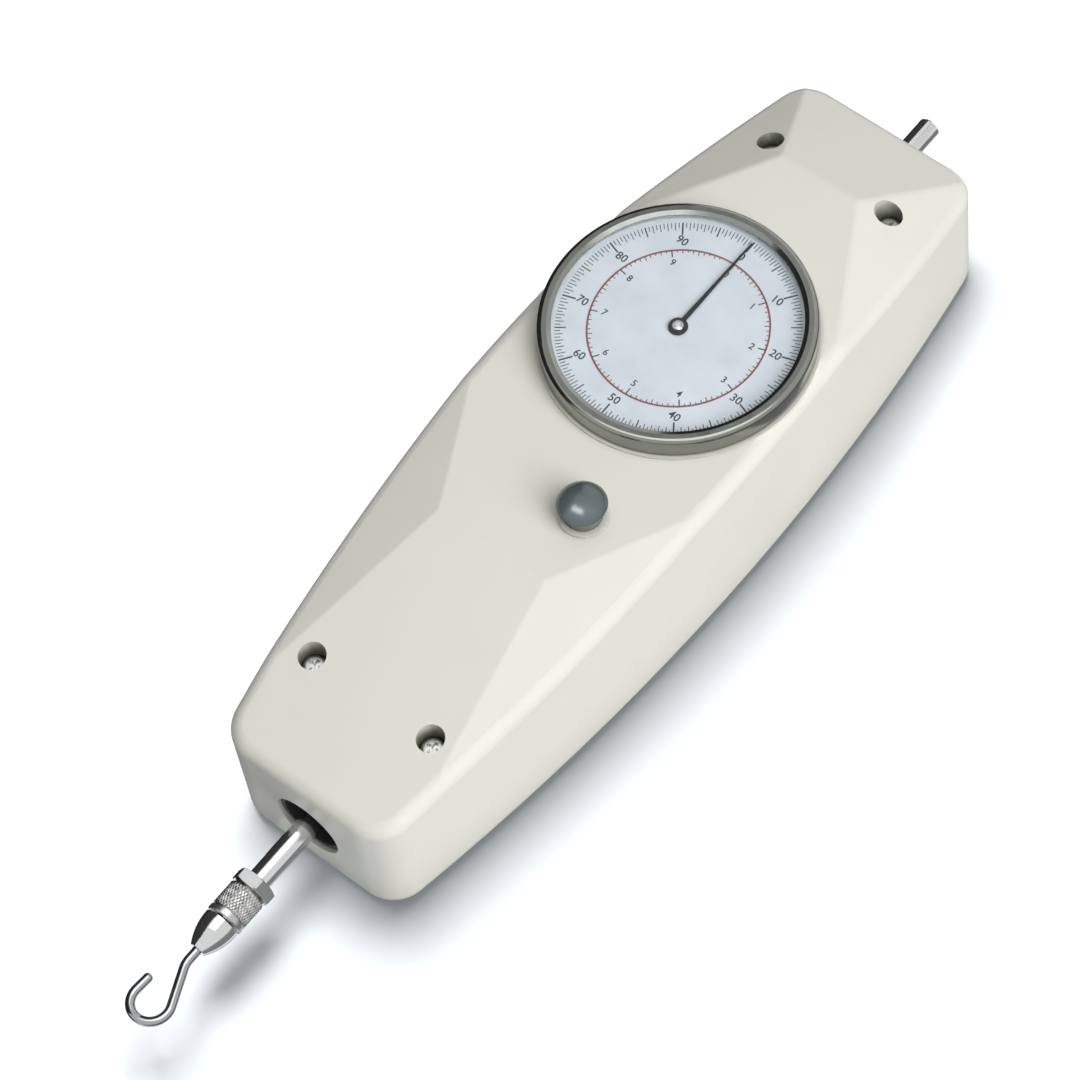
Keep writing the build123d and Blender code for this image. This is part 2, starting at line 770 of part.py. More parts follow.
# ---------------------------------------------------------------- measuring shaft
shaft_start_y = hook_y - shaft_hook_reach
shaft_end_y = stub_y + shaft_stub_reach
with BuildPart() as measuring_shaft:
    with BuildSketch(across(shaft_start_y)):
        Circle(thread_radius)
    extrude(amount=shaft_end_y - shaft_start_y)
    with BuildSketch(across(shaft_start_y + hook_thread_length)):
        Circle(shaft_radius)
    extrude(amount=shaft_end_y - stub_thread_length - shaft_start_y - hook_thread_length)
    with BuildSketch(across(shaft_end_y - stub_thread_length - relief_width)):
        Circle(shaft_radius)
        Circle(relief_radius, mode=Mode.SUBTRACT)
    extrude(amount=relief_width, mode=Mode.SUBTRACT)
    chamfer(measuring_shaft.edges().group_by(Axis.Y)[0], shaft_chamfer)
    chamfer(measuring_shaft.edges().group_by(Axis.Y)[-1], shaft_chamfer)
    with BuildSketch(level(0, collar_y, shaft_z - shaft_radius)):
        Circle(collar_pin_radius)
    extrude(amount=shaft_diameter, mode=Mode.SUBTRACT)
write(measuring_shaft, "measuring_shaft")

with BuildPart() as spring_collar:
    with BuildSketch(across(collar_y - collar_width / 2)):
        Circle(collar_radius)
        Circle(shaft_radius + running, mode=Mode.SUBTRACT)
    extrude(amount=collar_width)
    with BuildSketch(level(0, collar_y, shaft_z - collar_radius)):
        Circle(collar_pin_radius)
    extrude(amount=2 * collar_radius, mode=Mode.SUBTRACT)
write(spring_collar, "spring_collar")

with BuildPart() as collar_pin:
    with BuildSketch(level(0, collar_y, shaft_z - collar_pin_half)):
        Circle(collar_pin_radius)
    extrude(amount=2 * collar_pin_half)
write(collar_pin, "collar_pin")

spring_end_gap = spring_wire_radius + spring_seat_gap
coil_length = spring_length - 2 * spring_end_gap
for name, start_y in (
    ("pull_spring", pull_lug_y + spring_end_gap),
    ("push_spring", collar_y + collar_width / 2 + spring_end_gap),
):
    with BuildPart() as spring:
        with BuildLine() as path:
            Helix(
                coil_length / spring_turns,
                coil_length,
                spring_mean_radius,
                center=(0, start_y, shaft_z),
                direction=(0, 1, 0),
            )
        with BuildSketch(Plane(origin=path.line @ 0, z_dir=path.line % 0)):
            Circle(spring_wire_radius)
        sweep(path=path.line, is_frenet=True)
    write(spring, name)

with BuildPart() as stop_ring:
    with BuildSketch(across(stop_ring_y)):
        Circle(stop_ring_radius)
        Circle(shaft_radius, mode=Mode.SUBTRACT)
    extrude(amount=stop_ring_thickness)
write(stop_ring, "stop_ring")

# ---------------------------------------------------------------- rack
with BuildPart() as rack_bracket:
    with BuildSketch(across(bracket_y - bracket_reach)):
        Circle(bracket_ring_radius)
        with Locations((guide_rod_x, 0)):
            Circle(bracket_eye_radius)
        with Locations((guide_rod_x / 2, 0)):
            Rectangle(-guide_rod_x, 2 * guide_rod_radius)
        with Locations(((rack_back_x + rack_root_x) / 2, (shaft_z - rack_z) / 2)):
            Rectangle(rack_back_width, rack_z - shaft_z)
        Circle(shaft_radius, mode=Mode.SUBTRACT)
        with Locations((guide_rod_x, 0)):
            Circle(guide_rod_radius + running, mode=Mode.SUBTRACT)
    extrude(amount=2 * bracket_reach)
    with BuildSketch(Plane.XY.offset(rack_z)):
        with Locations(rack_screw_places):
            Circle(rack_screw_radius)
    extrude(amount=-rack_screw_length, mode=Mode.SUBTRACT)
write(rack_bracket, "rack_bracket")

with BuildPart() as rack:
    tooth_tip_x = rack_line_x + addendum_factor * rack_module
    root_half = rack_pitch / 4 - backlash / 2 + (rack_line_x - rack_root_x) * tan(radians(pressure_angle))
    tip_half = rack_pitch / 4 - backlash / 2 - (tooth_tip_x - rack_line_x) * tan(radians(pressure_angle))
    with BuildSketch(Plane.XY.offset(rack_z)):
        rack_start_y = bracket_y - bracket_reach
        with Locations(((rack_back_x + rack_root_x) / 2, (rack_end_y + rack_start_y) / 2)):
            Rectangle(rack_back_width, rack_end_y - rack_start_y)
        for tooth in range(-rack_side_teeth, rack_side_teeth + 1):
            tooth_y = intermediate_y + tooth * rack_pitch
            with BuildLine():
                Polyline(
                    (rack_root_x, tooth_y - root_half),
                    (tooth_tip_x, tooth_y - tip_half),
                    (tooth_tip_x, tooth_y + tip_half),
                    (rack_root_x, tooth_y + root_half),
                    close=True,
                )
            make_face()
        with Locations(rack_screw_places):
            Circle(rack_screw_radius + running, mode=Mode.SUBTRACT)
    extrude(amount=rack_height)
write(rack, "rack")

with BuildPart() as rack_screws:
    with BuildSketch(Plane.XY.offset(rack_z - rack_screw_length)):
        with Locations(rack_screw_places):
            Circle(rack_screw_radius)
    extrude(amount=rack_screw_length + rack_height)
    with BuildSketch(Plane.XY.offset(rack_z + rack_height)):
        with Locations(rack_screw_places):
            Circle(rack_screw_head_radius)
    extrude(amount=rack_screw_head_height)
write(rack_screws, "rack_screws")

# ---------------------------------------------------------------- gear train
arbor_bottom_z = lower_plate_z + end_shake
arbor_shoulder_low_z = lower_plate_top_z + end_shake
arbor_shoulder_high_z = upper_plate_z - end_shake
with BuildPart() as intermediate_arbor:
    for radius, low_z, high_z in (
        (pivot_radius, arbor_bottom_z, upper_plate_top_z),
        (arbor_radius, arbor_shoulder_low_z, arbor_shoulder_high_z),
    ):
        with BuildSketch(level(intermediate_x, intermediate_y, low_z)):
            Circle(radius)
        extrude(amount=high_z - low_z)
write(intermediate_arbor, "intermediate_arbor")

with BuildPart() as rack_pinion:
    with BuildSketch(level(intermediate_x, intermediate_y, rack_z - pinion_overlap)):
        with BuildLine():
            Polyline(*gear_outline(rack_pinion_teeth, rack_module, pi + pi / rack_pinion_teeth), close=True)
        make_face()
        Circle(arbor_radius, mode=Mode.SUBTRACT)
    extrude(amount=rack_height + 2 * pinion_overlap)
write(rack_pinion, "rack_pinion")

mesh_angle = atan2(dial_y - intermediate_y, -intermediate_x)
with BuildPart() as large_gear:
    with BuildSketch(level(intermediate_x, intermediate_y, large_gear_z)):
        with BuildLine():
            Polyline(*gear_outline(large_gear_teeth, gear_module, mesh_angle), close=True)
        make_face()
        Circle(arbor_radius, mode=Mode.SUBTRACT)
        with PolarLocations(gear_window_circle, gear_windows):
            Circle(gear_window_radius, mode=Mode.SUBTRACT)
    extrude(amount=large_gear_thickness)
    with BuildSketch(level(intermediate_x, intermediate_y, large_gear_z - gear_hub_height)):
        Circle(gear_hub_radius)
        Circle(arbor_radius, mode=Mode.SUBTRACT)
    extrude(amount=gear_hub_height)
write(large_gear, "large_gear")

spindle_top_z = dial_plate_top_z + pointer_rise + hub_height
with BuildPart() as pointer_spindle:
    for radius, low_z, high_z in (
        (pivot_radius, arbor_bottom_z, spindle_top_z),
        (arbor_radius, arbor_shoulder_low_z, arbor_shoulder_high_z),
        (pointer_spindle_radius, arbor_shoulder_high_z, dial_plate_top_z),
    ):
        with BuildSketch(level(0, dial_y, low_z)):
            Circle(radius)
        extrude(amount=high_z - low_z)
write(pointer_spindle, "pointer_spindle")

with BuildPart() as centre_pinion:
    with BuildSketch(level(0, dial_y, large_gear_z - centre_pinion_margin)):
        with BuildLine():
            Polyline(
                *gear_outline(centre_pinion_teeth, gear_module, mesh_angle + pi + pi / centre_pinion_teeth),
                close=True,
            )
        make_face()
        Circle(arbor_radius, mode=Mode.SUBTRACT)
    extrude(amount=large_gear_thickness + 2 * centre_pinion_margin)
write(centre_pinion, "centre_pinion")

with BuildPart() as hairspring_collet:
    with BuildSketch(level(0, dial_y, collet_z)):
        Circle(collet_radius)
        Circle(arbor_radius, mode=Mode.SUBTRACT)
    extrude(amount=collet_height)
write(hairspring_collet, "hairspring_collet")

with BuildPart() as hairspring:
    turn_steps = 20
    spiral = []
    for step in range(hairspring_turns * turn_steps + turn_steps // 2 + 1):
        share = step / (hairspring_turns * turn_steps + turn_steps // 2)
        radius = hairspring_inner + share * (hairspring_outer - hairspring_inner)
        angle = 2 * pi * step / turn_steps
        spiral.append((radius * cos(angle), radius * sin(angle)))
    with BuildSketch(level(0, dial_y, hairspring_z)):
        with BuildLine():
            Polyline(*spiral)
        trace(line_width=hairspring_strip)
    extrude(amount=hairspring_height)
write(hairspring, "hairspring")

with BuildPart() as hairspring_stud:
    stud_x = -(hairspring_outer + stud_radius + hairspring_strip / 2)
    with BuildSketch(level(stud_x, dial_y, hairspring_z)):
        Circle(stud_radius)
    extrude(amount=upper_plate_z - hairspring_z)
write(hairspring_stud, "hairspring_stud")

# ---------------------------------------------------------------- dial
with BuildPart() as dial_cup:
    cup_outer = dial_recess_radius - running
    cup_inner = cup_outer - dial_cup_wall
    cup_floor_top_z = ledge_z + dial_floor_thickness
    groove_low_z = seat_z + retaining_ring_rise
    groove_high_z = groove_low_z + retaining_ring_width
    with BuildSketch(dial_section):
        with BuildLine():
            Polyline(
                (dial_floor_hole_radius, ledge_z),
                (cup_outer, ledge_z),
                (cup_outer, seat_z),
                (dial_flange_radius, seat_z),
                (dial_flange_radius, groove_low_z),
                (dial_flange_radius - retaining_ring_depth, groove_low_z),
                (dial_flange_radius - retaining_ring_depth, groove_high_z),
                (dial_flange_radius, groove_high_z),
                (dial_flange_radius, cup_rim_z),
                (cup_inner, cup_rim_z),
                (cup_inner, cup_floor_top_z),
                (dial_floor_hole_radius, cup_floor_top_z),
                close=True,
            )
        make_face()
    revolve(axis=dial_axis)
    with BuildSketch(Plane.XY.offset(ledge_z)):
        with Locations(dial_screw_places):
            Circle(dial_screw_shank_radius + running)
    extrude(amount=dial_floor_thickness, mode=Mode.SUBTRACT)
write(dial_cup, "dial_cup")

with BuildPart() as dial_screws:
    with BuildSketch(Plane.XY.offset(ceiling_z)):
        with Locations(dial_screw_places):
            Circle(dial_screw_shank_radius)
    extrude(amount=cup_floor_top_z - ceiling_z)
    with BuildSketch(Plane.XY.offset(cup_floor_top_z)):
        with Locations(dial_screw_places):
            Circle(dial_screw_head_radius)
    extrude(amount=dial_screw_head_height)
write(dial_screws, "dial_screws")

with BuildPart() as bezel_spring_ring:
    with BuildSketch(level(0, dial_y, groove_low_z)):
        Circle(dial_flange_radius)
        Circle(dial_flange_radius - retaining_ring_depth, mode=Mode.SUBTRACT)
        with Locations((0, -dial_flange_radius)):
            Rectangle(ring_gap_width, ring_gap_width, mode=Mode.SUBTRACT)
    extrude(amount=retaining_ring_width)
write(bezel_spring_ring, "bezel_spring_ring")

with BuildPart() as bezel:
    with BuildSketch(dial_section):
        with BuildLine():
            Polyline(
                (bezel_outer_radius - bezel_wall, bezel_low_z),
                (bezel_outer_radius - bezel_foot_chamfer, bezel_low_z),
                (bezel_outer_radius, bezel_low_z + bezel_foot_chamfer),
                (bezel_outer_radius, bezel_top_z),
                (bezel_lip_radius + bezel_slope_width, bezel_top_z),
                (bezel_lip_radius, bezel_top_z - bezel_slope_height),
                (bezel_lip_radius, glass_top_z),
                (bezel_outer_radius - bezel_wall, glass_top_z),
                close=True,
            )
        make_face()
    revolve(axis=dial_axis)
    fillet(bezel.edges().group_by(Axis.Z)[-1].sort_by(SortBy.RADIUS)[-1], bezel_edge_radius)
write(bezel, "bezel")

glass_radius = bezel_outer_radius - bezel_wall - running
for name, low_z, high_z, hole_radius in (
    ("crystal", glass_top_z - glass_thickness, glass_top_z, 0),
    ("spacer_ring", dial_plate_top_z, glass_top_z - glass_thickness, glass_radius - spacer_width),
    ("dial_plate", dial_plate_top_z - dial_plate_thickness, dial_plate_top_z, dial_hole_radius),
):
    with BuildPart() as disc:
        with BuildSketch(level(0, dial_y, low_z)):
            Circle(glass_radius)
            if hole_radius:
                Circle(hole_radius, mode=Mode.SUBTRACT)
        extrude(amount=high_z - low_z)
    write(disc, name)

pointer_z = dial_plate_top_z + pointer_rise
with BuildPart() as pointer:
    with BuildSketch(level(0, dial_y, pointer_z)):
        with BuildLine():
            Polyline(
                (-pointer_root_width / 2, 0),
                (-pointer_shoulder_width / 2, pointer_shoulder_radius),
                (-pointer_tip_width / 2, pointer_length),
                (pointer_tip_width / 2, pointer_length),
                (pointer_shoulder_width / 2, pointer_shoulder_radius),
                (pointer_root_width / 2, 0),
                close=True,
            )
        make_face()
        Circle(hub_radius, mode=Mode.SUBTRACT)
    extrude(amount=pointer_thickness)
write(pointer, "pointer")

with BuildPart() as pointer_hub:
    with BuildSketch(level(0, dial_y, pointer_z - pointer_drop)):
        Circle(hub_radius)
        Circle(pivot_radius, mode=Mode.SUBTRACT)
    extrude(amount=pointer_drop + hub_height - hub_pin_rise)
    chamfer(pointer_hub.edges().group_by(Axis.Z)[-1].sort_by(SortBy.RADIUS)[-1], hub_chamfer)
write(pointer_hub, "pointer_hub")

# ---------------------------------------------------------------- button
with BuildPart() as button_bush:
    bore = button_neck_radius + running
    with BuildSketch(button_section):
        with BuildLine():
            Polyline(
                (button_stem_radius + bezel_running, bush_floor_z),
                (bush_body_radius, bush_floor_z),
                (bush_body_radius, plateau_z),
                (bush_cap_radius, plateau_z),
                (bush_cap_radius, plateau_z + bush_cap_height),
                (bore, plateau_z + bush_cap_height),
                (bore, bush_floor_z + bush_floor_thickness),
                (button_stem_radius + bezel_running, bush_floor_z + bush_floor_thickness),
                close=True,
            )
        make_face()
    revolve(axis=button_axis)
write(button_bush, "button_bush")

stem_end_z = lever_z + lever_thickness + stem_end_gap
with BuildPart() as button_plunger:
    with BuildSketch(level(button_x, button_y, stem_end_z)):
        Circle(button_stem_radius)
    extrude(amount=button_shoulder_z - stem_end_z)
    with BuildSketch(level(button_x, button_y, button_shoulder_z)):
        Circle(button_neck_radius)
    extrude(amount=cap_low_z + cap_socket_depth - button_shoulder_z)
write(button_plunger, "button_plunger")

with BuildPart() as reset_button:
    with BuildSketch(button_section):
        with BuildLine():
            side = Line(
                (button_cap_radius - button_cap_lip, cap_low_z),
                (button_cap_radius, cap_low_z + button_cap_lip),
            )
            dome = ThreePointArc(
                side @ 1,
                (dome_radius * sin(dome_half_angle), cap_top_z - dome_radius * (1 - cos(dome_half_angle))),
                (0, cap_top_z),
            )
            Polyline(dome @ 1, (0, cap_low_z), side @ 0)
        make_face()
    revolve(axis=button_axis)
    with BuildSketch(level(button_x, button_y, cap_low_z)):
        Circle(button_neck_radius)
    extrude(amount=cap_socket_depth, mode=Mode.SUBTRACT)
write(reset_button, "reset_button")

with BuildPart() as button_clip:
    with BuildSketch(level(button_x, button_y, bush_floor_z - running - button_clip_thickness)):
        Circle(button_clip_radius)
        Circle(button_stem_radius, mode=Mode.SUBTRACT)
    extrude(amount=button_clip_thickness)
write(button_clip, "button_clip")

button_coil_z = bush_floor_z + bush_floor_thickness + button_spring_wire_radius + running
button_coil_length = button_shoulder_z - button_spring_wire_radius - running - button_coil_z
with BuildPart() as button_spring:
    with BuildLine() as path:
        Helix(
            button_coil_length / button_spring_turns,
            button_coil_length,
            button_spring_mean_radius,
            center=(button_x, button_y, button_coil_z),
        )
    with BuildSketch(Plane(origin=path.line @ 0, z_dir=path.line % 0)):
        Circle(button_spring_wire_radius)
    sweep(path=path.line, is_frenet=True)
write(button_spring, "button_spring")

with BuildPart() as release_lever:
    with BuildSketch(Plane.XY.offset(lever_z)):
        with Locations((button_x, sum(lever_ends) / 2)):
            RectangleRounded(lever_width, lever_ends[1] - lever_ends[0], lever_width / 3)
    extrude(amount=lever_thickness)
    with BuildSketch(Plane(origin=(button_x, lever_pivot_y, ear_centre_z), z_dir=(1, 0, 0))):
        Circle(lever_eye_radius)
    extrude(amount=lever_width / 2, both=True)
    with BuildSketch(Plane(origin=(button_x, lever_pivot_y, ear_centre_z), z_dir=(1, 0, 0))):
        Circle(lever_pin_radius + running)
    extrude(amount=lever_width / 2, both=True, mode=Mode.SUBTRACT)
write(release_lever, "release_lever")

with BuildPart() as lever_pin:
    with BuildSketch(Plane(origin=(button_x, lever_pivot_y, ear_centre_z), z_dir=(1, 0, 0))):
        Circle(lever_pin_radius)
    extrude(amount=ear_inner + ear_thickness, both=True)
write(lever_pin, "lever_pin")

with BuildPart() as brake_pad:
    pad_low_z = large_gear_z + large_gear_thickness + running
    with BuildSketch(level(button_x, brake_pad_y, pad_low_z)):
        Circle(brake_pad_radius)
    extrude(amount=lever_z - pad_low_z)
write(brake_pad, "brake_pad")

# ---------------------------------------------------------------- hook and coupling
nut_y = hook_y - nut_y_gap - nut_thickness
with BuildPart() as lock_nut:
    with BuildSketch(across(nut_y)):
        RegularPolygon(nut_across_flats / 2, 6, major_radius=False)
        Circle(thread_radius, mode=Mode.SUBTRACT)
    extrude(amount=nut_thickness)
    # corners turned down to a cone on both faces
    corner_radius = nut_across_flats / sqrt(3)
    with BuildSketch(shaft_section):
        with BuildLine():
            Polyline(
                (nut_y, 0),
                (nut_y, nut_across_flats / 2),
                (nut_y + nut_corner_drop, corner_radius),
                (nut_y + nut_thickness - nut_corner_drop, corner_radius),
                (nut_y + nut_thickness, nut_across_flats / 2),
                (nut_y + nut_thickness, 0),
                close=True,
            )
        make_face()
    revolve(axis=shaft_axis, mode=Mode.INTERSECT)
write(lock_nut, "lock_nut")

sleeve_end_y = nut_y - sleeve_length
with BuildPart() as coupling_sleeve:
    head_room_y = sleeve_end_y + sleeve_lip
    groove_floor = sleeve_radius - sleeve_groove_depth
    with BuildSketch(shaft_section):
        with BuildLine():
            Polyline(
                (nut_y, thread_radius),
                (nut_y, sleeve_radius - sleeve_chamfer),
                (nut_y - sleeve_chamfer, sleeve_radius),
                (sleeve_end_y + sleeve_groove_inset + sleeve_groove_width, sleeve_radius),
                (sleeve_end_y + sleeve_groove_inset + sleeve_groove_width, groove_floor),
                (sleeve_end_y + sleeve_groove_inset, groove_floor),
                (sleeve_end_y + sleeve_groove_inset, sleeve_radius),
                (sleeve_end_y, sleeve_radius),
                (sleeve_end_y, swivel_stem_radius + running),
                (head_room_y, swivel_stem_radius + running),
                (head_room_y, swivel_head_radius + bezel_running),
                (shaft_start_y, swivel_head_radius + bezel_running),
                (shaft_start_y, thread_radius),
                close=True,
            )
        make_face()
    revolve(axis=shaft_axis)
write(coupling_sleeve, "coupling_sleeve")

nose_start_y = sleeve_end_y - swivel_gap
nose_end_y = nose_start_y - nose_length
with BuildPart() as hook_nose:
    head_y = head_room_y + running
    with BuildSketch(shaft_section):
        with BuildLine():
            body = Polyline(
                (head_y + swivel_head_thickness, 0),
                (head_y + swivel_head_thickness, swivel_head_radius),
                (head_y, swivel_head_radius),
                (head_y, swivel_stem_radius),
                (nose_start_y, swivel_stem_radius),
                (nose_start_y, nose_radius),
            )
            flank = ThreePointArc(
                body @ 1,
                (nose_start_y - nose_length * 0.6, nose_radius - nose_flank_fall),
                (nose_end_y, nose_tip_radius),
            )
            Polyline(flank @ 1, (nose_end_y, 0), body @ 0)
        make_face()
    revolve(axis=shaft_axis)
write(hook_nose, "hook_nose")

with BuildPart() as hook_wire:
    with BuildLine(Plane.XY.offset(shaft_z)) as bend:
        shank = Line((0, nose_end_y), (0, nose_end_y - hook_shank))
        lean = JernArc(shank @ 1, shank % 1, hook_lean_radius, hook_lean_angle)
        run = Line(lean @ 1, lean @ 1 + (lean % 1) * hook_lean_run)
        bowl = JernArc(run @ 1, run % 1, hook_bowl_radius, -hook_bowl_angle)
        tip = Line(bowl @ 1, bowl @ 1 + (bowl % 1) * hook_tip_run)
    with BuildSketch(across(nose_end_y)):
        Circle(wire_radius)
    sweep(path=bend.line)
    tip_rim = hook_wire.edges().filter_by(GeomType.CIRCLE).sort_by_distance(tip @ 1)[0]
    fillet(tip_rim, wire_radius * 0.8)
write(hook_wire, "hook_wire")
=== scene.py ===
"""Finishes, dial print, pointer, screws, springs, knurled sleeve and studio of a force gauge."""
import json
import math

import bmesh
import bpy
from bpy.props import FloatProperty, FloatVectorProperty, IntProperty, PointerProperty
from mathutils import Matrix, Vector


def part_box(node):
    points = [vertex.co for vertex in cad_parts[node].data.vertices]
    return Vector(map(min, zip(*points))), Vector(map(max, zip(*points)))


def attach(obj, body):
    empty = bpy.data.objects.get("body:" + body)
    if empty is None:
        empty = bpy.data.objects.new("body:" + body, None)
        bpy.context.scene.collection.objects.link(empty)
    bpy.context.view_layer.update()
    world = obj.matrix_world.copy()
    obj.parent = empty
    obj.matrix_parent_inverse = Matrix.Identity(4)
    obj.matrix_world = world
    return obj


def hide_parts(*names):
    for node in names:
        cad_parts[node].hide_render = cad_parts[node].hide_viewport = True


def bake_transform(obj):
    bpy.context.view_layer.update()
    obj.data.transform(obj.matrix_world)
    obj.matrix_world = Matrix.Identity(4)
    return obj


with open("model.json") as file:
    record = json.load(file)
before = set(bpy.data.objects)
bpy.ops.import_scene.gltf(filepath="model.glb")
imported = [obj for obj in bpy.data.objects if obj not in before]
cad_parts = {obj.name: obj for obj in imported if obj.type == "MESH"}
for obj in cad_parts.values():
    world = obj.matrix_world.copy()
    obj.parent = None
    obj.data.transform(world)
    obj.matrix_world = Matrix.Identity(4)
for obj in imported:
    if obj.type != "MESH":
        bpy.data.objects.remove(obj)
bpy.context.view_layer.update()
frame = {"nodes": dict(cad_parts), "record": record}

bl_info = {
    "name": "Force Gauge",
    "version": (1, 0, 0),
    "blender": (4, 5, 0),
    "location": "3D View > Sidebar > Force Gauge",
    "description": "Dresses the packed force gauge: enamel, steel, dial print, knurl and studio",
    "category": "Object",
}

MM = 0.001
NODES = frame["nodes"]
SLOT_OF = {part["node"]: part["material_slot"] for part in frame["record"]["subparts"]}
DIAL_LOW, DIAL_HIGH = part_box("dial_plate")
DIAL_CENTRE = (DIAL_LOW + DIAL_HIGH) / 2
DIAL_TOP = DIAL_HIGH.z
SLEEVE_LOW, SLEEVE_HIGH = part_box("coupling_sleeve")
SHAFT_LOW, SHAFT_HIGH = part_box("measuring_shaft")
SHAFT_Z = (SHAFT_LOW.z + SHAFT_HIGH.z) / 2
BENCH_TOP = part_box("rear_case")[0].z - 0.02 * MM
ORIGIN = (0, 0, 0)
SAME_POINT = 1e-7  # nearer than this, two places are one
WELD = 1e-6  # the same, for the points of a spun outline


# ---------------------------------------------------------------- settings

class EnamelSettings(bpy.types.PropertyGroup):
    cream: FloatVectorProperty(
        name="Enamel", description="Colour of the baked enamel on the cast case",
        subtype="COLOR", size=3, min=0, max=1, default=(0.79, 0.778, 0.705),
    )
    orange_peel: FloatProperty(
        name="Orange peel", description="Strength of the fine waviness in the enamel",
        default=0.12, min=0, max=1, subtype="FACTOR",
    )
    screw_head_rise: FloatProperty(
        name="Head rise",
        description="How much taller the case screws' heads are than a plain pan head",
        default=4.4 * MM, unit="LENGTH",
    )


class DialSettings(bpy.types.PropertyGroup):
    face: FloatVectorProperty(
        name="Dial face", description="Colour of the painted dial plate",
        subtype="COLOR", size=3, min=0, max=1, default=(0.745, 0.81, 0.855),
    )
    ink: FloatVectorProperty(
        name="Black ink", description="Colour of the outer scale and its numbers",
        subtype="COLOR", size=3, min=0, max=1, default=(0.014, 0.015, 0.016),
    )
    red: FloatVectorProperty(
        name="Red ink", description="Colour of the inner ring and its short lines",
        subtype="COLOR", size=3, min=0, max=1, default=(0.235, 0.055, 0.06),
    )
    outer_radius: FloatProperty(
        name="Outer scale", description="Radius at which the outer lines start",
        default=24.8 * MM, unit="LENGTH",
    )
    major_length: FloatProperty(
        name="Long line", description="Length of the ten numbered lines",
        default=2.9 * MM, unit="LENGTH",
    )
    inner_radius: FloatProperty(
        name="Inner ring", description="Radius of the red ring that carries the inner scale",
        default=18.3 * MM, unit="LENGTH",
    )
    divisions: IntProperty(
        name="Divisions", description="Lines on the outer scale", default=200, min=20, max=200,
    )
    needle_root: FloatProperty(
        name="Needle root", description="Width of the pointer at its hub",
        default=1.0 * MM, unit="LENGTH",
    )
    needle_tip: FloatProperty(
        name="Needle tip", description="Width of the pointer at its tip",
        default=0.28 * MM, unit="LENGTH",
    )


class KnurlSettings(bpy.types.PropertyGroup):
    teeth: IntProperty(
        name="Teeth", description="Diamonds round the sleeve", default=36, min=12, max=72,
    )
    depth: FloatProperty(
        name="Depth", description="Depth of the knurl", default=0.26 * MM, unit="LENGTH",
    )


class StudioSettings(bpy.types.PropertyGroup):
    focal_length: FloatProperty(
        name="Lens", description="Focal length on a 36 mm wide sensor, in millimetres",
        default=150.4,
    )
    turn: FloatProperty(
        name="Turn", description="Direction that the camera looks in, from +Y towards -X",
        default=math.radians(47.71), subtype="ANGLE",
    )
    lift: FloatProperty(
        name="Lift", description="Angle of the camera above the bench",
        default=math.radians(60.55), subtype="ANGLE",
    )
    roll: FloatProperty(
        name="Roll", description="Turn of the camera about its own axis",
        default=math.radians(-9.87), subtype="ANGLE",
    )
    distance: FloatProperty(
        name="Distance", description="Camera to the middle of the view",
        default=0.929, unit="LENGTH",
    )
    target: FloatVectorProperty(
        name="Target", description="Point on the bench that the camera looks at",
        subtype="XYZ", size=3, default=(-0.0105, -0.0119, 0.0),
    )


# ---------------------------------------------------------------- helpers

def link_new(name, data):
    """A new object for a mesh, curve, lamp or camera, linked to the scene."""
    made = bpy.data.objects.new(name, data)
    bpy.context.scene.collection.objects.link(made)
    return made


def mesh_from(name, bm):
    """A mesh from a bmesh, which is freed."""
    mesh = bpy.data.meshes.new(name)
    bm.to_mesh(mesh)
    bm.free()
    return mesh


def mesh_of(obj):
    """A new mesh of an object as it looks now, with its modifiers applied."""
    bpy.context.view_layer.update()
    depsgraph = bpy.context.evaluated_depsgraph_get()
    return bpy.data.meshes.new_from_object(obj.evaluated_get(depsgraph), depsgraph=depsgraph)


# ---------------------------------------------------------------- materials

def blank(name):
    """A new material, its node tree and its shader."""
    material = bpy.data.materials.new(name)
    material.use_nodes = True
    tree = material.node_tree
    return material, tree, tree.nodes["Principled BSDF"]


def mapped(tree, stretch=(1, 1, 1), centre=(0, 0, 0)):
    """Object coordinates through a mapping that centres and stretches the pattern."""
    coordinates = tree.nodes.new("ShaderNodeTexCoord")
    mapping = tree.nodes.new("ShaderNodeMapping")
    mapping.inputs["Location"].default_value = [-c * s for c, s in zip(centre, stretch)]
    mapping.inputs["Scale"].default_value = stretch
    tree.links.new(coordinates.outputs["Object"], mapping.inputs["Vector"])
    return mapping.outputs["Vector"]


def noise(tree, vector, scale, detail=3.0, roughness=0.55):
    """Noise from 0 to 1; a scale of 1000 has grains of about a millimetre."""
    texture = tree.nodes.new("ShaderNodeTexNoise")
    texture.inputs["Scale"].default_value = scale
    texture.inputs["Detail"].default_value = detail
    texture.inputs["Roughness"].default_value = roughness
    tree.links.new(vector, texture.inputs["Vector"])
    return texture.outputs["Fac"]


def ramp(tree, value, stops):
    """Colour ramp from (place, colour) pairs, first and last placed at its ends."""
    node = tree.nodes.new("ShaderNodeValToRGB")
    elements = node.color_ramp.elements
    for _ in range(len(stops) - 2):
        elements.new(0.5)
    for element, (place, colour) in zip(elements, stops):
        element.position = place
        element.color = (*colour, 1)
    tree.links.new(value, node.inputs["Fac"])
    return node.outputs["Color"]


def between(tree, value, low, high, start=0.3, end=0.7):
    """A value from start to end, spread over low to high."""
    node = tree.nodes.new("ShaderNodeMapRange")
    node.inputs["From Min"].default_value = start
    node.inputs["From Max"].default_value = end
    node.inputs["To Min"].default_value = low
    node.inputs["To Max"].default_value = high
    tree.links.new(value, node.inputs["Value"])
    return node.outputs["Result"]


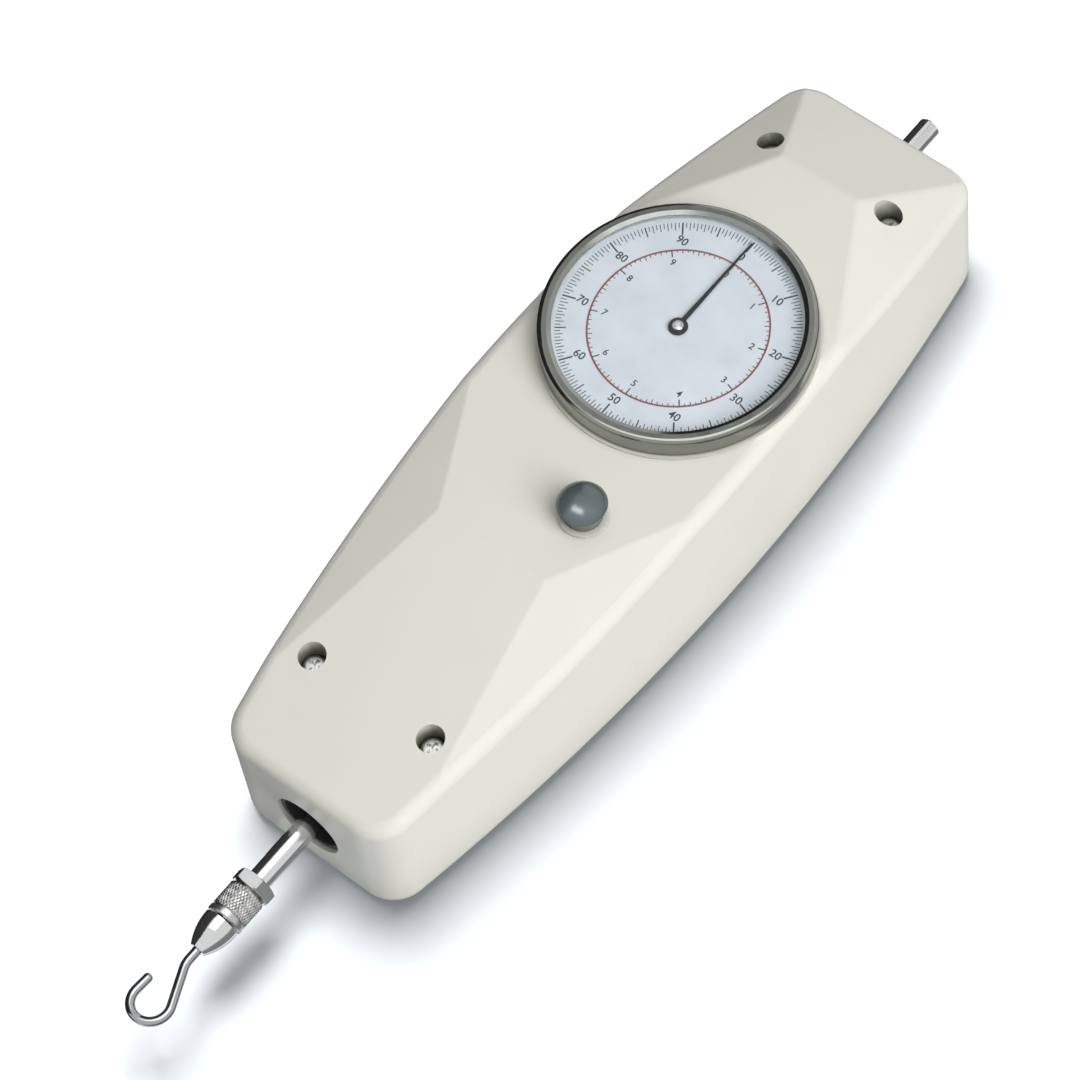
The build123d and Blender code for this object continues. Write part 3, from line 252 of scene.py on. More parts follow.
def bump(tree, shader, height, strength, distance):
    """Relief in the shader's normal, from a height of 0 to 1."""
    node = tree.nodes.new("ShaderNodeBump")
    node.inputs["Strength"].default_value = strength
    node.inputs["Distance"].default_value = distance
    tree.links.new(height, node.inputs["Height"])
    tree.links.new(node.outputs["Normal"], shader.inputs["Normal"])


def maths(tree, operation, *values):
    """A maths node fed by other nodes' sockets or by plain numbers."""
    node = tree.nodes.new("ShaderNodeMath")
    node.operation = operation
    for socket, value in zip(node.inputs, values):
        if isinstance(value, bpy.types.NodeSocket):
            tree.links.new(value, socket)
        else:
            socket.default_value = value
    return node.outputs["Value"]


def looked_at(tree, path):
    """1 for rays of the camera, of reflections and through glass, 0 for rays that light things."""
    seen = maths(tree, "MAXIMUM", path.outputs["Is Camera Ray"], path.outputs["Is Glossy Ray"])
    return maths(tree, "MAXIMUM", seen, path.outputs["Is Transmission Ray"])


def shade(colour, factor):
    """A lighter or darker step of a colour."""
    return tuple(min(1.0, c * factor) for c in colour)


def enamel(name, colour, peel):
    """Baked enamel over a casting: faint clouding, satin gloss, orange peel and painted shade in
    hollows.
    """
    material, tree, shader = blank(name)
    space = mapped(tree)
    cloud = noise(tree, space, 38.0, 4.0)
    unshaded = ramp(
        tree, cloud, [(0.3, shade(colour, 0.972)), (0.52, colour), (0.72, shade(colour, 1.012))],
    )
    # Painted shade: ambient occlusion darkens the enamel to dark olive in hollows, wells and
    # corners.
    hollow = tree.nodes.new("ShaderNodeAmbientOcclusion")
    hollow.inputs["Distance"].default_value = 6 * MM
    painted_shade = tree.nodes.new("ShaderNodeMix")
    painted_shade.data_type = "RGBA"
    painted_shade.inputs["A"].default_value = (0.10, 0.10, 0.07, 1)
    open_air = between(tree, hollow.outputs["AO"], 0.0, 1.0, 0.15, 0.66)
    tree.links.new(open_air, painted_shade.inputs["Factor"])
    tree.links.new(unshaded, painted_shade.inputs["B"])
    tree.links.new(painted_shade.outputs["Result"], shader.inputs["Base Color"])
    tree.links.new(between(tree, noise(tree, space, 210.0), 0.36, 0.46), shader.inputs["Roughness"])
    shader.inputs["Specular IOR Level"].default_value = 0.42
    shader.inputs["Coat Weight"].default_value = 0.18
    shader.inputs["Coat Roughness"].default_value = 0.22
    bump(tree, shader, noise(tree, space, 1300.0, 2.0), peel, 0.12 * MM)
    return material


def polished(name, colour, low, high, wave=0.04):
    """Plated or polished steel: near mirror, with faint rubbing and ripple."""
    material, tree, shader = blank(name)
    space = mapped(tree)
    tree.links.new(
        ramp(tree, noise(tree, space, 160.0, 4.0), [(0.3, shade(colour, 0.93)), (0.7, colour)]),
        shader.inputs["Base Color"],
    )
    shader.inputs["Metallic"].default_value = 1.0
    tree.links.new(between(tree, noise(tree, space, 420.0), low, high), shader.inputs["Roughness"])
    bump(tree, shader, noise(tree, space, 240.0, 2.0), wave, 0.1 * MM)
    return material


def brushed(name, colour, low, high, stretch):
    """Turned, drawn or rolled metal with fine lines along one direction."""
    material, tree, shader = blank(name)
    lines = noise(tree, mapped(tree, stretch), 900.0, 4.0, 0.65)
    tree.links.new(
        ramp(
            tree, lines, [(0.28, shade(colour, 0.82)), (0.5, colour), (0.74, shade(colour, 1.08))],
        ),
        shader.inputs["Base Color"],
    )
    shader.inputs["Metallic"].default_value = 1.0
    tree.links.new(between(tree, lines, low, high), shader.inputs["Roughness"])
    bump(tree, shader, lines, 0.12, 0.06 * MM)
    return material


def cast_alloy(name, colour):
    """Machined zinc or aluminium alloy with a matt, slightly grained skin."""
    material, tree, shader = blank(name)
    space = mapped(tree)
    grain = noise(tree, space, 900.0, 5.0)
    tree.links.new(
        ramp(tree, grain, [(0.3, shade(colour, 0.86)), (0.7, shade(colour, 1.05))]),
        shader.inputs["Base Color"],
    )
    shader.inputs["Metallic"].default_value = 1.0
    tree.links.new(between(tree, grain, 0.38, 0.55), shader.inputs["Roughness"])
    bump(tree, shader, grain, 0.18, 0.08 * MM)
    return material


def moulded(
    name, colour, low, high, coat=0.0, grain_scale=700.0, grain=0.06, gloss=0.5, coat_blur=0.12,
):
    """Moulded plastic or rubber: colour a little uneven, roughness and grain from noise."""
    material, tree, shader = blank(name)
    space = mapped(tree)
    cloud = noise(tree, space, 140.0, 4.0)
    tree.links.new(
        ramp(tree, cloud, [(0.3, shade(colour, 0.93)), (0.7, shade(colour, 1.05))]),
        shader.inputs["Base Color"],
    )
    tree.links.new(between(tree, noise(tree, space, 350.0), low, high), shader.inputs["Roughness"])
    shader.inputs["Specular IOR Level"].default_value = gloss
    shader.inputs["Coat Weight"].default_value = coat
    shader.inputs["Coat Roughness"].default_value = coat_blur
    bump(tree, shader, noise(tree, space, grain_scale, 3.0), grain, 0.1 * MM)
    return material


def printed(name, colour):
    """Screen-printed ink, slightly uneven in cover."""
    material, tree, shader = blank(name)
    space = mapped(tree)
    cover = noise(tree, space, 2600.0, 3.0)
    tree.links.new(
        ramp(tree, cover, [(0.3, colour), (0.75, tuple(c + 0.02 for c in colour))]),
        shader.inputs["Base Color"],
    )
    tree.links.new(between(tree, cover, 0.5, 0.68), shader.inputs["Roughness"])
    return material


def clear_glass(name):
    """Flat dial glass that lets the lamps through to the dial."""
    material, tree, shader = blank(name)
    space = mapped(tree)
    shader.inputs["Base Color"].default_value = (0.985, 0.995, 1.0, 1)
    shader.inputs["Transmission Weight"].default_value = 1.0
    shader.inputs["IOR"].default_value = 1.49
    tree.links.new(between(tree, noise(tree, space, 90.0), 0.0, 0.02), shader.inputs["Roughness"])
    through = tree.nodes.new("ShaderNodeBsdfTransparent")
    through.inputs["Color"].default_value = (0.985, 0.99, 0.995, 1)
    path = tree.nodes.new("ShaderNodeLightPath")
    lighting = maths(tree, "MAXIMUM", path.outputs["Is Shadow Ray"], path.outputs["Is Diffuse Ray"])
    mix = tree.nodes.new("ShaderNodeMixShader")
    tree.links.new(lighting, mix.inputs["Fac"])
    tree.links.new(shader.outputs["BSDF"], mix.inputs[1])
    tree.links.new(through.outputs["BSDF"], mix.inputs[2])
    tree.links.new(mix.outputs["Shader"], tree.nodes["Material Output"].inputs["Surface"])
    return material


FINISHES = {}


def recipes(case, dial):
    """Each finish's maker and what it takes after the name.

    Metals: colour, lowest and highest roughness, then ripple or the stretch of the lines.
    Mouldings: colour, roughness range, coat, size and strength of grain, gloss, blur of the coat.
    """
    return {
        "cream_enamel": (enamel, tuple(case.cream), case.orange_peel),
        "polished_steel": (polished, (0.66, 0.67, 0.67), 0.05, 0.12),
        "wire_plate": (polished, (0.38, 0.39, 0.40), 0.06, 0.12),
        "bezel_plate": (polished, (0.26, 0.27, 0.25), 0.10, 0.18, 0.03),
        "zinc_plate": (polished, (0.66, 0.67, 0.65), 0.34, 0.40, 0.0),
        "hub_steel": (polished, (0.46, 0.47, 0.47), 0.10, 0.16, 0.02),
        "knurled_steel": (polished, (0.50, 0.505, 0.49), 0.26, 0.36, 0.03),
        "shaft_plate": (brushed, (0.64, 0.64, 0.65), 0.07, 0.14, (1, 0.05, 1)),
        "plain_steel": (brushed, (0.56, 0.56, 0.57), 0.26, 0.42, (1, 0.08, 1)),
        "spring_steel": (brushed, (0.40, 0.40, 0.42), 0.22, 0.36, (1, 1, 1)),
        "brass": (brushed, (0.72, 0.53, 0.25), 0.20, 0.36, (1, 1, 0.1)),
        "alloy": (cast_alloy, (0.62, 0.62, 0.63)),
        "black_bush": (moulded, (0.048, 0.050, 0.050), 0.32, 0.48),
        "slate_button": (moulded, (0.058, 0.077, 0.080), 0.26, 0.34, 0.5, 500.0, 0.03, 0.5, 0.24),
        # painted shade: the neck's dark olive-grey stands in for the shade under the button's cap
        "neck_painted_shade": (moulded, (0.19, 0.20, 0.175), 0.34, 0.48, 0.1),
        "dial_white": (moulded, tuple(dial.face), 0.44, 0.58, 0.0, 1800.0, 0.03),
        "pointer_black": (moulded, (0.006, 0.006, 0.007), 0.44, 0.58, 0.0, 700.0, 0.02, 0.15),
        "brake_rubber": (moulded, (0.05, 0.05, 0.05), 0.6, 0.8),
        "dial_black": (printed, tuple(dial.ink)),
        "dial_red": (printed, tuple(dial.red)),
        "crystal": (clear_glass,),
    }


def finish_named(name):
    """The finish of that name, made the first time it is asked for."""
    if name not in FINISHES:
        scene = bpy.context.scene
        maker, *taken = recipes(scene.gauge_enamel, scene.gauge_dial)[name]
        FINISHES[name] = maker(name, *taken)
    return FINISHES[name]


def dress(nodes, finish=None):
    """Give CAD nodes a finish: the one named, or that of their slot in the record."""
    for name in nodes:
        node = NODES[name]
        material = finish_named(finish or SLOT_OF[name])
        if not node.data.materials:
            node.data.materials.append(material)
        for slot in range(len(node.data.materials)):
            node.data.materials[slot] = material


def piece(name, bm, body, finish, smooth=None):
    """A finished mesh object at the origin, riding on a body if one is named."""
    bmesh.ops.recalc_face_normals(bm, faces=bm.faces)
    mesh = mesh_from(name, bm)
    made = link_new(name, mesh)
    mesh.materials.append(finish_named(finish))
    if smooth is not None:
        mesh.shade_smooth()
        mesh.set_sharp_from_angle(angle=smooth)
    if body:
        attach(made, body)
    return made


TURN_STEPS = 40
ROUND = math.radians(30)  # faces that meet at less than this are shaded as one


def dome(radius, foot, height, step):
    """Outline of a dome as (radius, height) points, one every so many degrees above its foot."""
    return [
        (radius * math.cos(math.radians(a)), foot + height * math.sin(math.radians(a)))
        for a in range(step, 91, step)
    ]


def turned(profile, place):
    """An outline of (radius, height) points spun about a vertical line through a place."""
    bm = bmesh.new()
    chain = [bm.verts.new((place.x + r, place.y, z)) for r, z in profile]
    edges = [bm.edges.new(pair) for pair in zip(chain, chain[1:])]
    bmesh.ops.spin(
        bm, geom=chain + edges, cent=(place.x, place.y, 0), axis=(0, 0, 1), angle=2 * math.pi,
        steps=TURN_STEPS, use_merge=True, use_duplicate=False,
    )
    bmesh.ops.remove_doubles(bm, verts=bm.verts, dist=WELD)
    bmesh.ops.recalc_face_normals(bm, faces=bm.faces)
    return bm


# ---------------------------------------------------------------- dial print

INK = 0.03 * MM
FIGURE_SHARE = 0.69  # height of a figure in the plain font, as a share of the font's size
INK_SPREAD = 0.018  # how far ink spreads round a figure, as a share of its height
RING_STEPS = 144
OUTER_FIGURE, OUTER_FIGURE_INSET = 1.75 * MM, 4.3 * MM
INNER_FIGURE, INNER_FIGURE_INSET = 1.45 * MM, 2.9 * MM
INNER_LINE, INNER_LINE_WIDTH = 1.6 * MM, 0.26 * MM
INNER_UNIT = math.radians(35.3)  # turn between two numbers of the inner scale
RED_RING_WIDTH, RED_LINE_WIDTH = 0.40 * MM, 0.20 * MM


def line_across(bm, angle, start, end, width):
    """A printed line along a radius, from one radius to another; angle runs clockwise from +Y."""
    place = (
        Matrix.Translation((DIAL_CENTRE.x, DIAL_CENTRE.y, DIAL_TOP + INK / 2))
        @ Matrix.Rotation(-angle, 4, "Z")
        @ Matrix.Translation((0, (start + end) / 2, 0))
        @ Matrix.Diagonal((width, abs(end - start), INK, 1))
    )
    bmesh.ops.create_cube(bm, size=1.0, matrix=place)


def number(bm, text, height, angle, radius):
    """A printed number centred on a radius, upright with the pointer's zero at the top."""
    curve = bpy.data.curves.new("number", "FONT")
    curve.body = text
    curve.size = height / FIGURE_SHARE
    curve.align_x = "CENTER"
    curve.align_y = "CENTER"
    curve.extrude = INK / 2
    curve.offset = height * INK_SPREAD
    curve.resolution_u = 3
    figure = link_new("number", curve)
    mesh = mesh_of(figure)
    bpy.data.objects.remove(figure)
    bpy.data.curves.remove(curve)
    mesh.transform(
        Matrix.Translation((
            DIAL_CENTRE.x + radius * math.sin(angle),
            DIAL_CENTRE.y + radius * math.cos(angle),
            DIAL_TOP + INK / 2,
        ))
    )
    bm.from_mesh(mesh)
    bpy.data.meshes.remove(mesh)


def printed_ring(bm, radius, width):
    """A flat printed ring about the dial's centre."""
    inner, outer, top = radius - width / 2, radius + width / 2, DIAL_TOP + INK
    section = [
        bm.verts.new((DIAL_CENTRE.x + r, DIAL_CENTRE.y, z))
        for r, z in ((inner, DIAL_TOP), (outer, DIAL_TOP), (outer, top), (inner, top))
    ]
    edges = [bm.edges.new((section[i], section[(i + 1) % 4])) for i in range(4)]
    bmesh.ops.spin(
        bm, geom=section + edges, cent=(DIAL_CENTRE.x, DIAL_CENTRE.y, 0), axis=(0, 0, 1),
        angle=2 * math.pi, steps=RING_STEPS, use_merge=True, use_duplicate=False,
    )


def outer_line(i, tenth):
    """Share of the longest line, and width, for a line of the outer scale."""
    if i % tenth == 0:
        return 1.0, 0.34 * MM
    if i % (tenth // 2) == 0:
        return 0.8, 0.26 * MM
    return 0.62 if i % 2 == 0 else 0.42, 0.17 * MM


def outer_scale(bm, dial):
    """Black lines all round the dial, with the numbers 0 to 90 inside them."""
    for i in range(dial.divisions):
        share, width = outer_line(i, dial.divisions // 10)
        line_across(
            bm, 2 * math.pi * i / dial.divisions,
            dial.outer_radius, dial.outer_radius - dial.major_length * share, width,
        )
    for i in range(10):
        angle = 2 * math.pi * i / 10
        number(bm, str(i * 10), OUTER_FIGURE, angle, dial.outer_radius - OUTER_FIGURE_INSET)


def inner_scale(bm, dial):
    """The black numbers 0 to 9 and their lines, inside the red ring."""
    start = dial.inner_radius
    for i in range(10):
        number(bm, str(i), INNER_FIGURE, INNER_UNIT * i, start - INNER_FIGURE_INSET)
        line_across(bm, INNER_UNIT * i, start, start - INNER_LINE, INNER_LINE_WIDTH)


def red_scale(bm, dial):
    """The red ring and the short lines between the inner numbers."""
    start = dial.inner_radius
    printed_ring(bm, start, RED_RING_WIDTH)
    for i in range(101):
        if i % 10:
            reach = (1.1 if i % 5 == 0 else 0.8 if i % 2 == 0 else 0.55) * MM
            line_across(bm, INNER_UNIT * i / 10, start, start - reach, RED_LINE_WIDTH)


class GAUGE_OT_dial(bpy.types.Operator):
    """Finish the dial plate and print both scales on it"""
    bl_idname = "gauge.dial"
    bl_label = "Dial"

    def execute(self, context):
        dial = context.scene.gauge_dial
        dress(["dial_plate", "spacer_ring"])
        black, red = bmesh.new(), bmesh.new()
        outer_scale(black, dial)
        inner_scale(black, dial)
        piece("dial_print_black", black, "dial_ring", "dial_black")
        red_scale(red, dial)
        piece("dial_print_red", red, "dial_ring", "dial_red")
        return {"FINISHED"}


# ---------------------------------------------------------------- pointer, glass, bezel

HUB_DOME_SHARE = 0.6  # of the hub's height
HUB_STEP, CAP_STEP = 10, 15  # degrees between points of a dome's outline
CAP_RADIUS = 1.2 * MM
CAP_SINK = 0.4  # how far the cap's foot lies below the hub's top, as a share of the dome


def needle(dial):
    """The pointer drawn down to a needle, from its root to its tip."""
    low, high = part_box("pointer")
    middle = (low + high) / 2
    bm = bmesh.new()
    size = Matrix.Diagonal((dial.needle_root, high.y - low.y, high.z - low.z, 1))
    bmesh.ops.create_cube(bm, size=1.0, matrix=Matrix.Translation(middle) @ size)
    for v in bm.verts:
        if v.co.y > middle.y:
            v.co.x = middle.x + (v.co.x - middle.x) * dial.needle_tip / dial.needle_root
    return bm


class GAUGE_OT_pointer(bpy.types.Operator):
    """Draw the pointer down to a needle, dome and cap its hub and finish the spindle"""
    bl_idname = "gauge.pointer"
    bl_label = "Pointer"

    def execute(self, context):
        dress(["pointer", "pointer_hub", "centre_pinion", "hairspring_collet"])
        dress(["pointer_spindle"], "polished_steel")
        made = piece(
            "needle", needle(context.scene.gauge_dial), "pointer_group",
            "pointer_black",
        )
        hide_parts("pointer")

        low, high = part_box("pointer_hub")
        middle, radius = (low + high) / 2, (high.x - low.x) / 2
        rise = (high.z - low.z) * HUB_DOME_SHARE
        side = [(0, low.z), (radius, low.z), (radius, high.z - rise)]
        made = piece(
            "domed_hub", turned(side + dome(radius, high.z - rise, rise, HUB_STEP), middle),
            "pointer_group", "pointer_black", smooth=ROUND,
        )
        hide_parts("pointer_hub")

        foot, top = high.z - rise * CAP_SINK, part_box("pointer_spindle")[1].z
        side = [(0, foot), (CAP_RADIUS, foot)]
        piece(
            "spindle_cap", turned(side + dome(CAP_RADIUS, foot, top - foot, CAP_STEP), middle),
            "pointer_group", "hub_steel", smooth=ROUND,
        )
        return {"FINISHED"}


class GAUGE_OT_bezel(bpy.types.Operator):
    """Finish the turning bezel, the glass and the ring under it"""
    bl_idname = "gauge.bezel"
    bl_label = "Bezel and glass"

    def execute(self, context):
        dress(["bezel"], "bezel_plate")
        dress(["crystal", "bezel_spring_ring"])
        return {"FINISHED"}


# ---------------------------------------------------------------- case and button

PAN_HEAD = 2.0 * MM
SHANK_RADIUS = 1.5 * MM
HEAD_EDGE = 0.9 * MM  # round edge of a screw's head
RECESS = (3.4 * MM, 1.0 * MM, 2.8 * MM)  # length, width and twice the depth of the cross
RECESS_TAPER = 0.72  # the cross at its bottom, as a share of its top


def recess_cutter(place, top, turn):
    """One arm of the cross in a screw's head, narrower at its bottom."""
    bm = bmesh.new()
    bmesh.ops.create_cube(
        bm, size=1.0,
        matrix=Matrix.Translation((place.x, place.y, top)) @ Matrix.Rotation(turn, 4, "Z")
        @ Matrix.Diagonal((*RECESS, 1)),
    )
    for v in bm.verts:
        if v.co.z < top:
            v.co.x = place.x + (v.co.x - place.x) * RECESS_TAPER
            v.co.y = place.y + (v.co.y - place.y) * RECESS_TAPER
    return link_new("screw_slot", mesh_from("screw_slot", bm))


def screw(place, seat, low, head_radius, head_height):
    """A pan-head screw with a cross recess, its dome spun and its recess cut."""
    top = seat + head_height
    profile = [(0, low), (SHANK_RADIUS, low), (SHANK_RADIUS, seat), (head_radius, seat)]
    profile += [
        (
            head_radius - HEAD_EDGE * (1 - math.cos(math.radians(a))),
            top - HEAD_EDGE * (1 - math.sin(math.radians(a))),
        )
        for a in range(0, 91, 15)
    ]
    profile += [(0, top)]
    body = link_new("screw_body", mesh_from("screw_body", turned(profile, place)))
    for turn in (0, math.pi / 2):
        cut = body.modifiers.new("recess", "BOOLEAN")
        cut.operation = "DIFFERENCE"
        cut.solver = "EXACT"
        cut.object = recess_cutter(place, top, turn)
        mesh = mesh_of(body)
        bpy.data.objects.remove(cut.object)
        body.modifiers.remove(cut)
        body.data = mesh
    bpy.data.objects.remove(body)
    return mesh


def welded(node):
    """A copy of a CAD node's mesh as a bmesh, its doubled points merged."""
    bm = bmesh.new()
    bm.from_mesh(NODES[node].data)
    bmesh.ops.remove_doubles(bm, verts=bm.verts, dist=SAME_POINT)
    return bm


def corners(verts):
    """Lowest and highest corner of the box round some points."""
    return (
        Vector(min(v.co[i] for v in verts) for i in range(3)),
        Vector(max(v.co[i] for v in verts) for i in range(3)),
    )


def solids_in(node):
    """Lowest and highest corner of each loose part of a CAD node."""
    bm = welded(node)
    left, boxes = set(bm.verts), []
    while left:
        group, edge = set(), {left.pop()}
        while edge:
            group |= edge
            edge = {e.other_vert(v) for v in edge for e in v.link_edges} - group
        left -= group
        boxes.append(corners(group))
    bm.free()
    return sorted(boxes, key=lambda box: (box[0].y, box[0].x))


class GAUGE_OT_case_screws(bpy.types.Operator):
    """Model the four case screws with tall heads that reach up their wells"""
    bl_idname = "gauge.case_screws"
    bl_label = "Case screws"

    def execute(self, context):
        head = PAN_HEAD + context.scene.gauge_enamel.screw_head_rise
        dress(["case_screws"])
        together = bmesh.new()
        for low, high in solids_in("case_screws"):
            mesh = screw((low + high) / 2, high.z - PAN_HEAD, low.z, (high.x - low.x) / 2, head)
            together.from_mesh(mesh)
            bpy.data.meshes.remove(mesh)
        made = piece("screws", together, "base", "zinc_plate", smooth=ROUND)
        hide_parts("case_screws")
        return {"FINISHED"}


class GAUGE_OT_case(bpy.types.Operator):
    """Finish both case halves and the inserts in the back"""
    bl_idname = "gauge.case"
    bl_label = "Case"

    def execute(self, context):
        dress(["front_case", "rear_case", "mounting_inserts"])
        return {"FINISHED"}


class GAUGE_OT_button(bpy.types.Operator):
    """Finish the reset button, its bush, plunger, clip and spring"""
    bl_idname = "gauge.button"
    bl_label = "Reset button"

    def execute(self, context):
        dress(["reset_button", "button_clip", "button_spring"])
        dress(["button_bush"], "cream_enamel")
        # the plunger's neck gets painted shade, a dark olive-grey for the shade under the cap
        dress(["button_plunger"], "neck_painted_shade")
        return {"FINISHED"}


# ---------------------------------------------------------------- shaft and hook

BORE, LIP_BORE = 2.45 * MM, 2.7 * MM
EDGE, CHAMFER = 0.25 * MM, 0.7 * MM
LIP, GROOVE_END, GROOVE_DEPTH = 1.1 * MM, 1.6 * MM, 0.35 * MM
BAND_INSET = (1.9 * MM, 1.1 * MM)  # of the knurled band from the sleeve's two ends
BAND_ROWS = 18
STEPS_A_TOOTH = 4
KNURL_ANGLE = math.radians(60)
RIDGE_SLOPE = 1.25  # above 1, the diamonds keep flat tops
KNURL_SMOOTH = math.radians(24)


def sleeve_outline(radius, band_start, band_end):
    """(place along the shaft, radius) of the sleeve's section, from its lip to its bore."""
    start, end = SLEEVE_LOW.y, SLEEVE_HIGH.y
    outline = [
        (start, LIP_BORE), (start, radius - EDGE), (start + EDGE, radius), (start + LIP, radius),
        (start + LIP, radius - GROOVE_DEPTH), (start + GROOVE_END, radius - GROOVE_DEPTH),
        (start + GROOVE_END, radius),
    ]
    outline += [
        (band_start + (band_end - band_start) * i / BAND_ROWS, radius) for i in range(BAND_ROWS + 1)
    ]
    return outline + [(end - CHAMFER, radius), (end, radius - CHAMFER), (end, BORE)]


def knurled_sleeve(teeth, depth):
    """Sleeve with two lips, a groove, a chamfer and a band of diamond knurl round the shaft."""
    radius = (SLEEVE_HIGH.x - SLEEVE_LOW.x) / 2
    band_start, band_end = SLEEVE_LOW.y + BAND_INSET[0], SLEEVE_HIGH.y - BAND_INSET[1]
    bm = bmesh.new()
    outline = sleeve_outline(radius, band_start, band_end)
    ring = [bm.verts.new((r, y, SHAFT_Z)) for y, r in outline]
    edges = [bm.edges.new(pair) for pair in zip(ring, ring[1:])]
    edges.append(bm.edges.new((ring[-1], ring[0])))
    bmesh.ops.spin(
        bm, geom=ring + edges, cent=(0, 0, SHAFT_Z), axis=(0, 1, 0), angle=2 * math.pi,
        steps=teeth * STEPS_A_TOOTH, use_merge=True, use_duplicate=False,
    )
    bmesh.ops.remove_doubles(bm, verts=bm.verts, dist=WELD)
    pitch = 2 * math.pi / teeth
    lead = math.tan(KNURL_ANGLE) * pitch * radius
    for v in bm.verts:
        r = math.hypot(v.co.x, v.co.z - SHAFT_Z)
        in_band = band_start - SAME_POINT <= v.co.y <= band_end + SAME_POINT
        if in_band and r > radius - WELD:
            turn = math.atan2(v.co.x, v.co.z - SHAFT_Z) / pitch
            along = (v.co.y - band_start) / lead
            one = abs(((turn + along) % 1.0) - 0.5) * 2
            two = abs(((turn - along) % 1.0) - 0.5) * 2
            cut = depth * max(1 - one * RIDGE_SLOPE, 1 - two * RIDGE_SLOPE, 0.0)
            v.co.x *= (r - cut) / r
            v.co.z = SHAFT_Z + (v.co.z - SHAFT_Z) * (r - cut) / r
    return bm


class GAUGE_OT_shaft(bpy.types.Operator):
    """Finish the measuring shaft, the nut and the hook, and knurl the sleeve"""
    bl_idname = "gauge.shaft"
    bl_label = "Shaft and hook"

    def execute(self, context):
        knurl = context.scene.gauge_knurl
        dress(["measuring_shaft"], "shaft_plate")
        dress(["lock_nut", "hook_nose", "coupling_sleeve"], "polished_steel")
        dress(["hook_wire"], "wire_plate")
        dress(["guide_bush_hook", "guide_bush_stub"])
        sleeve = piece(
            "knurled_sleeve", knurled_sleeve(knurl.teeth, knurl.depth), "measuring_shaft",
            "knurled_steel", smooth=KNURL_SMOOTH,
        )
        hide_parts("coupling_sleeve")
        return {"FINISHED"}


# ---------------------------------------------------------------- works

ALONG_SHAFT, UPRIGHT = 1, 2
COIL_SMOOTH = math.radians(40)


def coils(name, node, axis):
    """A spring's coils: the CAD node's mesh in spring steel, fixed where it stands, in place of the
    node.
    """
    bm = welded(node)
    low, high = corners(bm.verts)
    ends = [(low + high) / 2, (low + high) / 2]
    ends[0][axis], ends[1][axis] = low[axis], high[axis]
    made = piece(name, bm, None, "spring_steel", smooth=COIL_SMOOTH)
    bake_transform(made)
    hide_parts(node)


class GAUGE_OT_springs(bpy.types.Operator):
    """Give the two measuring springs and the button's spring fixed coils in spring steel"""
    bl_idname = "gauge.springs"
    bl_label = "Springs"

    def execute(self, context):
        coils("pull_coils", "pull_spring", ALONG_SHAFT)
        coils("push_coils", "push_spring", ALONG_SHAFT)
        coils("button_coils", "button_spring", UPRIGHT)
        return {"FINISHED"}


class GAUGE_OT_works(bpy.types.Operator):
    """Finish whatever is still bare: chassis, rack and gear movement inside the case"""
    bl_idname = "gauge.works"
    bl_label = "Works"

    def execute(self, context):
        ours = {finish.name for finish in FINISHES.values()}
        dress([
            name for name, node in NODES.items()
            if not node.data.materials or node.data.materials[0].name not in ours
        ])
        return {"FINISHED"}


# ---------------------------------------------------------------- stage

# name, place, width, depth, watts
ROOM_LAMPS = (
    ("over", (0.05, 0.0, 1.10), 0.7, 0.9, 3.3),
    ("right", (0.75, -0.05, 0.75), 0.6, 0.9, 9.4),
    ("back", (-0.25, 0.95, 0.60), 0.8, 0.5, 0.3),
)
BENCH_LAMP = ("bench_light", (-0.18, 0.12, 0.94), 0.5, 0.5, 14.4)
BUTTON_LAMP = ("button_light", (0.06, -0.53, 0.82), 0.8, 0.3, 8.0)
SCREW_LAMP = ("screw_light", (0.36, -0.12, 0.85), 0.1, 0.1, 6.0)

GROUND_CARD_Z = BENCH_TOP + 0.01 * MM
# name, place, aim, width, depth, grey level
CARDS = (
    ("left_card", (-0.45, 0.0, 0.375), (0, 0, 0.375), 1.2, 0.75, 0.05),
    ("left_ground", (-0.232, 0.0, GROUND_CARD_Z), (-0.232, 0.0, 1.0), 0.44, 1.2, 0.02),
    # painted shade: right_ground's grey stands in, for reflections only, for the shaded floor to
    # the right
    ("right_ground", (0.20, 0.0, GROUND_CARD_Z), (0.20, 0.0, 1.0), 0.37, 1.2, 0.30),
)
GLASS_CARD_DISTANCE = 0.75
GLASS_CARD_MARGIN = 0.3 * MM  # past the outer scale, as seen in the glass
GLASS_CARD_LEVEL = 0.10

BENCH_HALF = 3.0
BENCH_GLOW = 0.17  # near the object
GLOW_START, GLOW_FULL = 0.30, 1.20  # distances over which the floor goes to plain white
ROUND_LIGHT = 0.12  # strength of the light from all round


def area_lamp(name, place, width, depth, power):
    """A rectangular lamp aimed at the object."""
    data = bpy.data.lights.new(name, "AREA")
    data.shape = "RECTANGLE"
    data.size, data.size_y = width, depth
    data.energy = power
    lamp = link_new(name, data)
    lamp.location = place
    lamp.rotation_euler = (Vector(ORIGIN) - Vector(place)).to_track_quat("-Z", "Y").to_euler()
    return lamp


def share_light(lamp, things, state):
    """Light only those things, or everything but them, with a lamp."""
    group = bpy.data.collections.new(lamp.name + "_share")
    for thing in things:
        group.objects.link(thing)
    for member in group.collection_objects:
        member.light_linking.link_state = state
    lamp.light_linking.receiver_collection = group


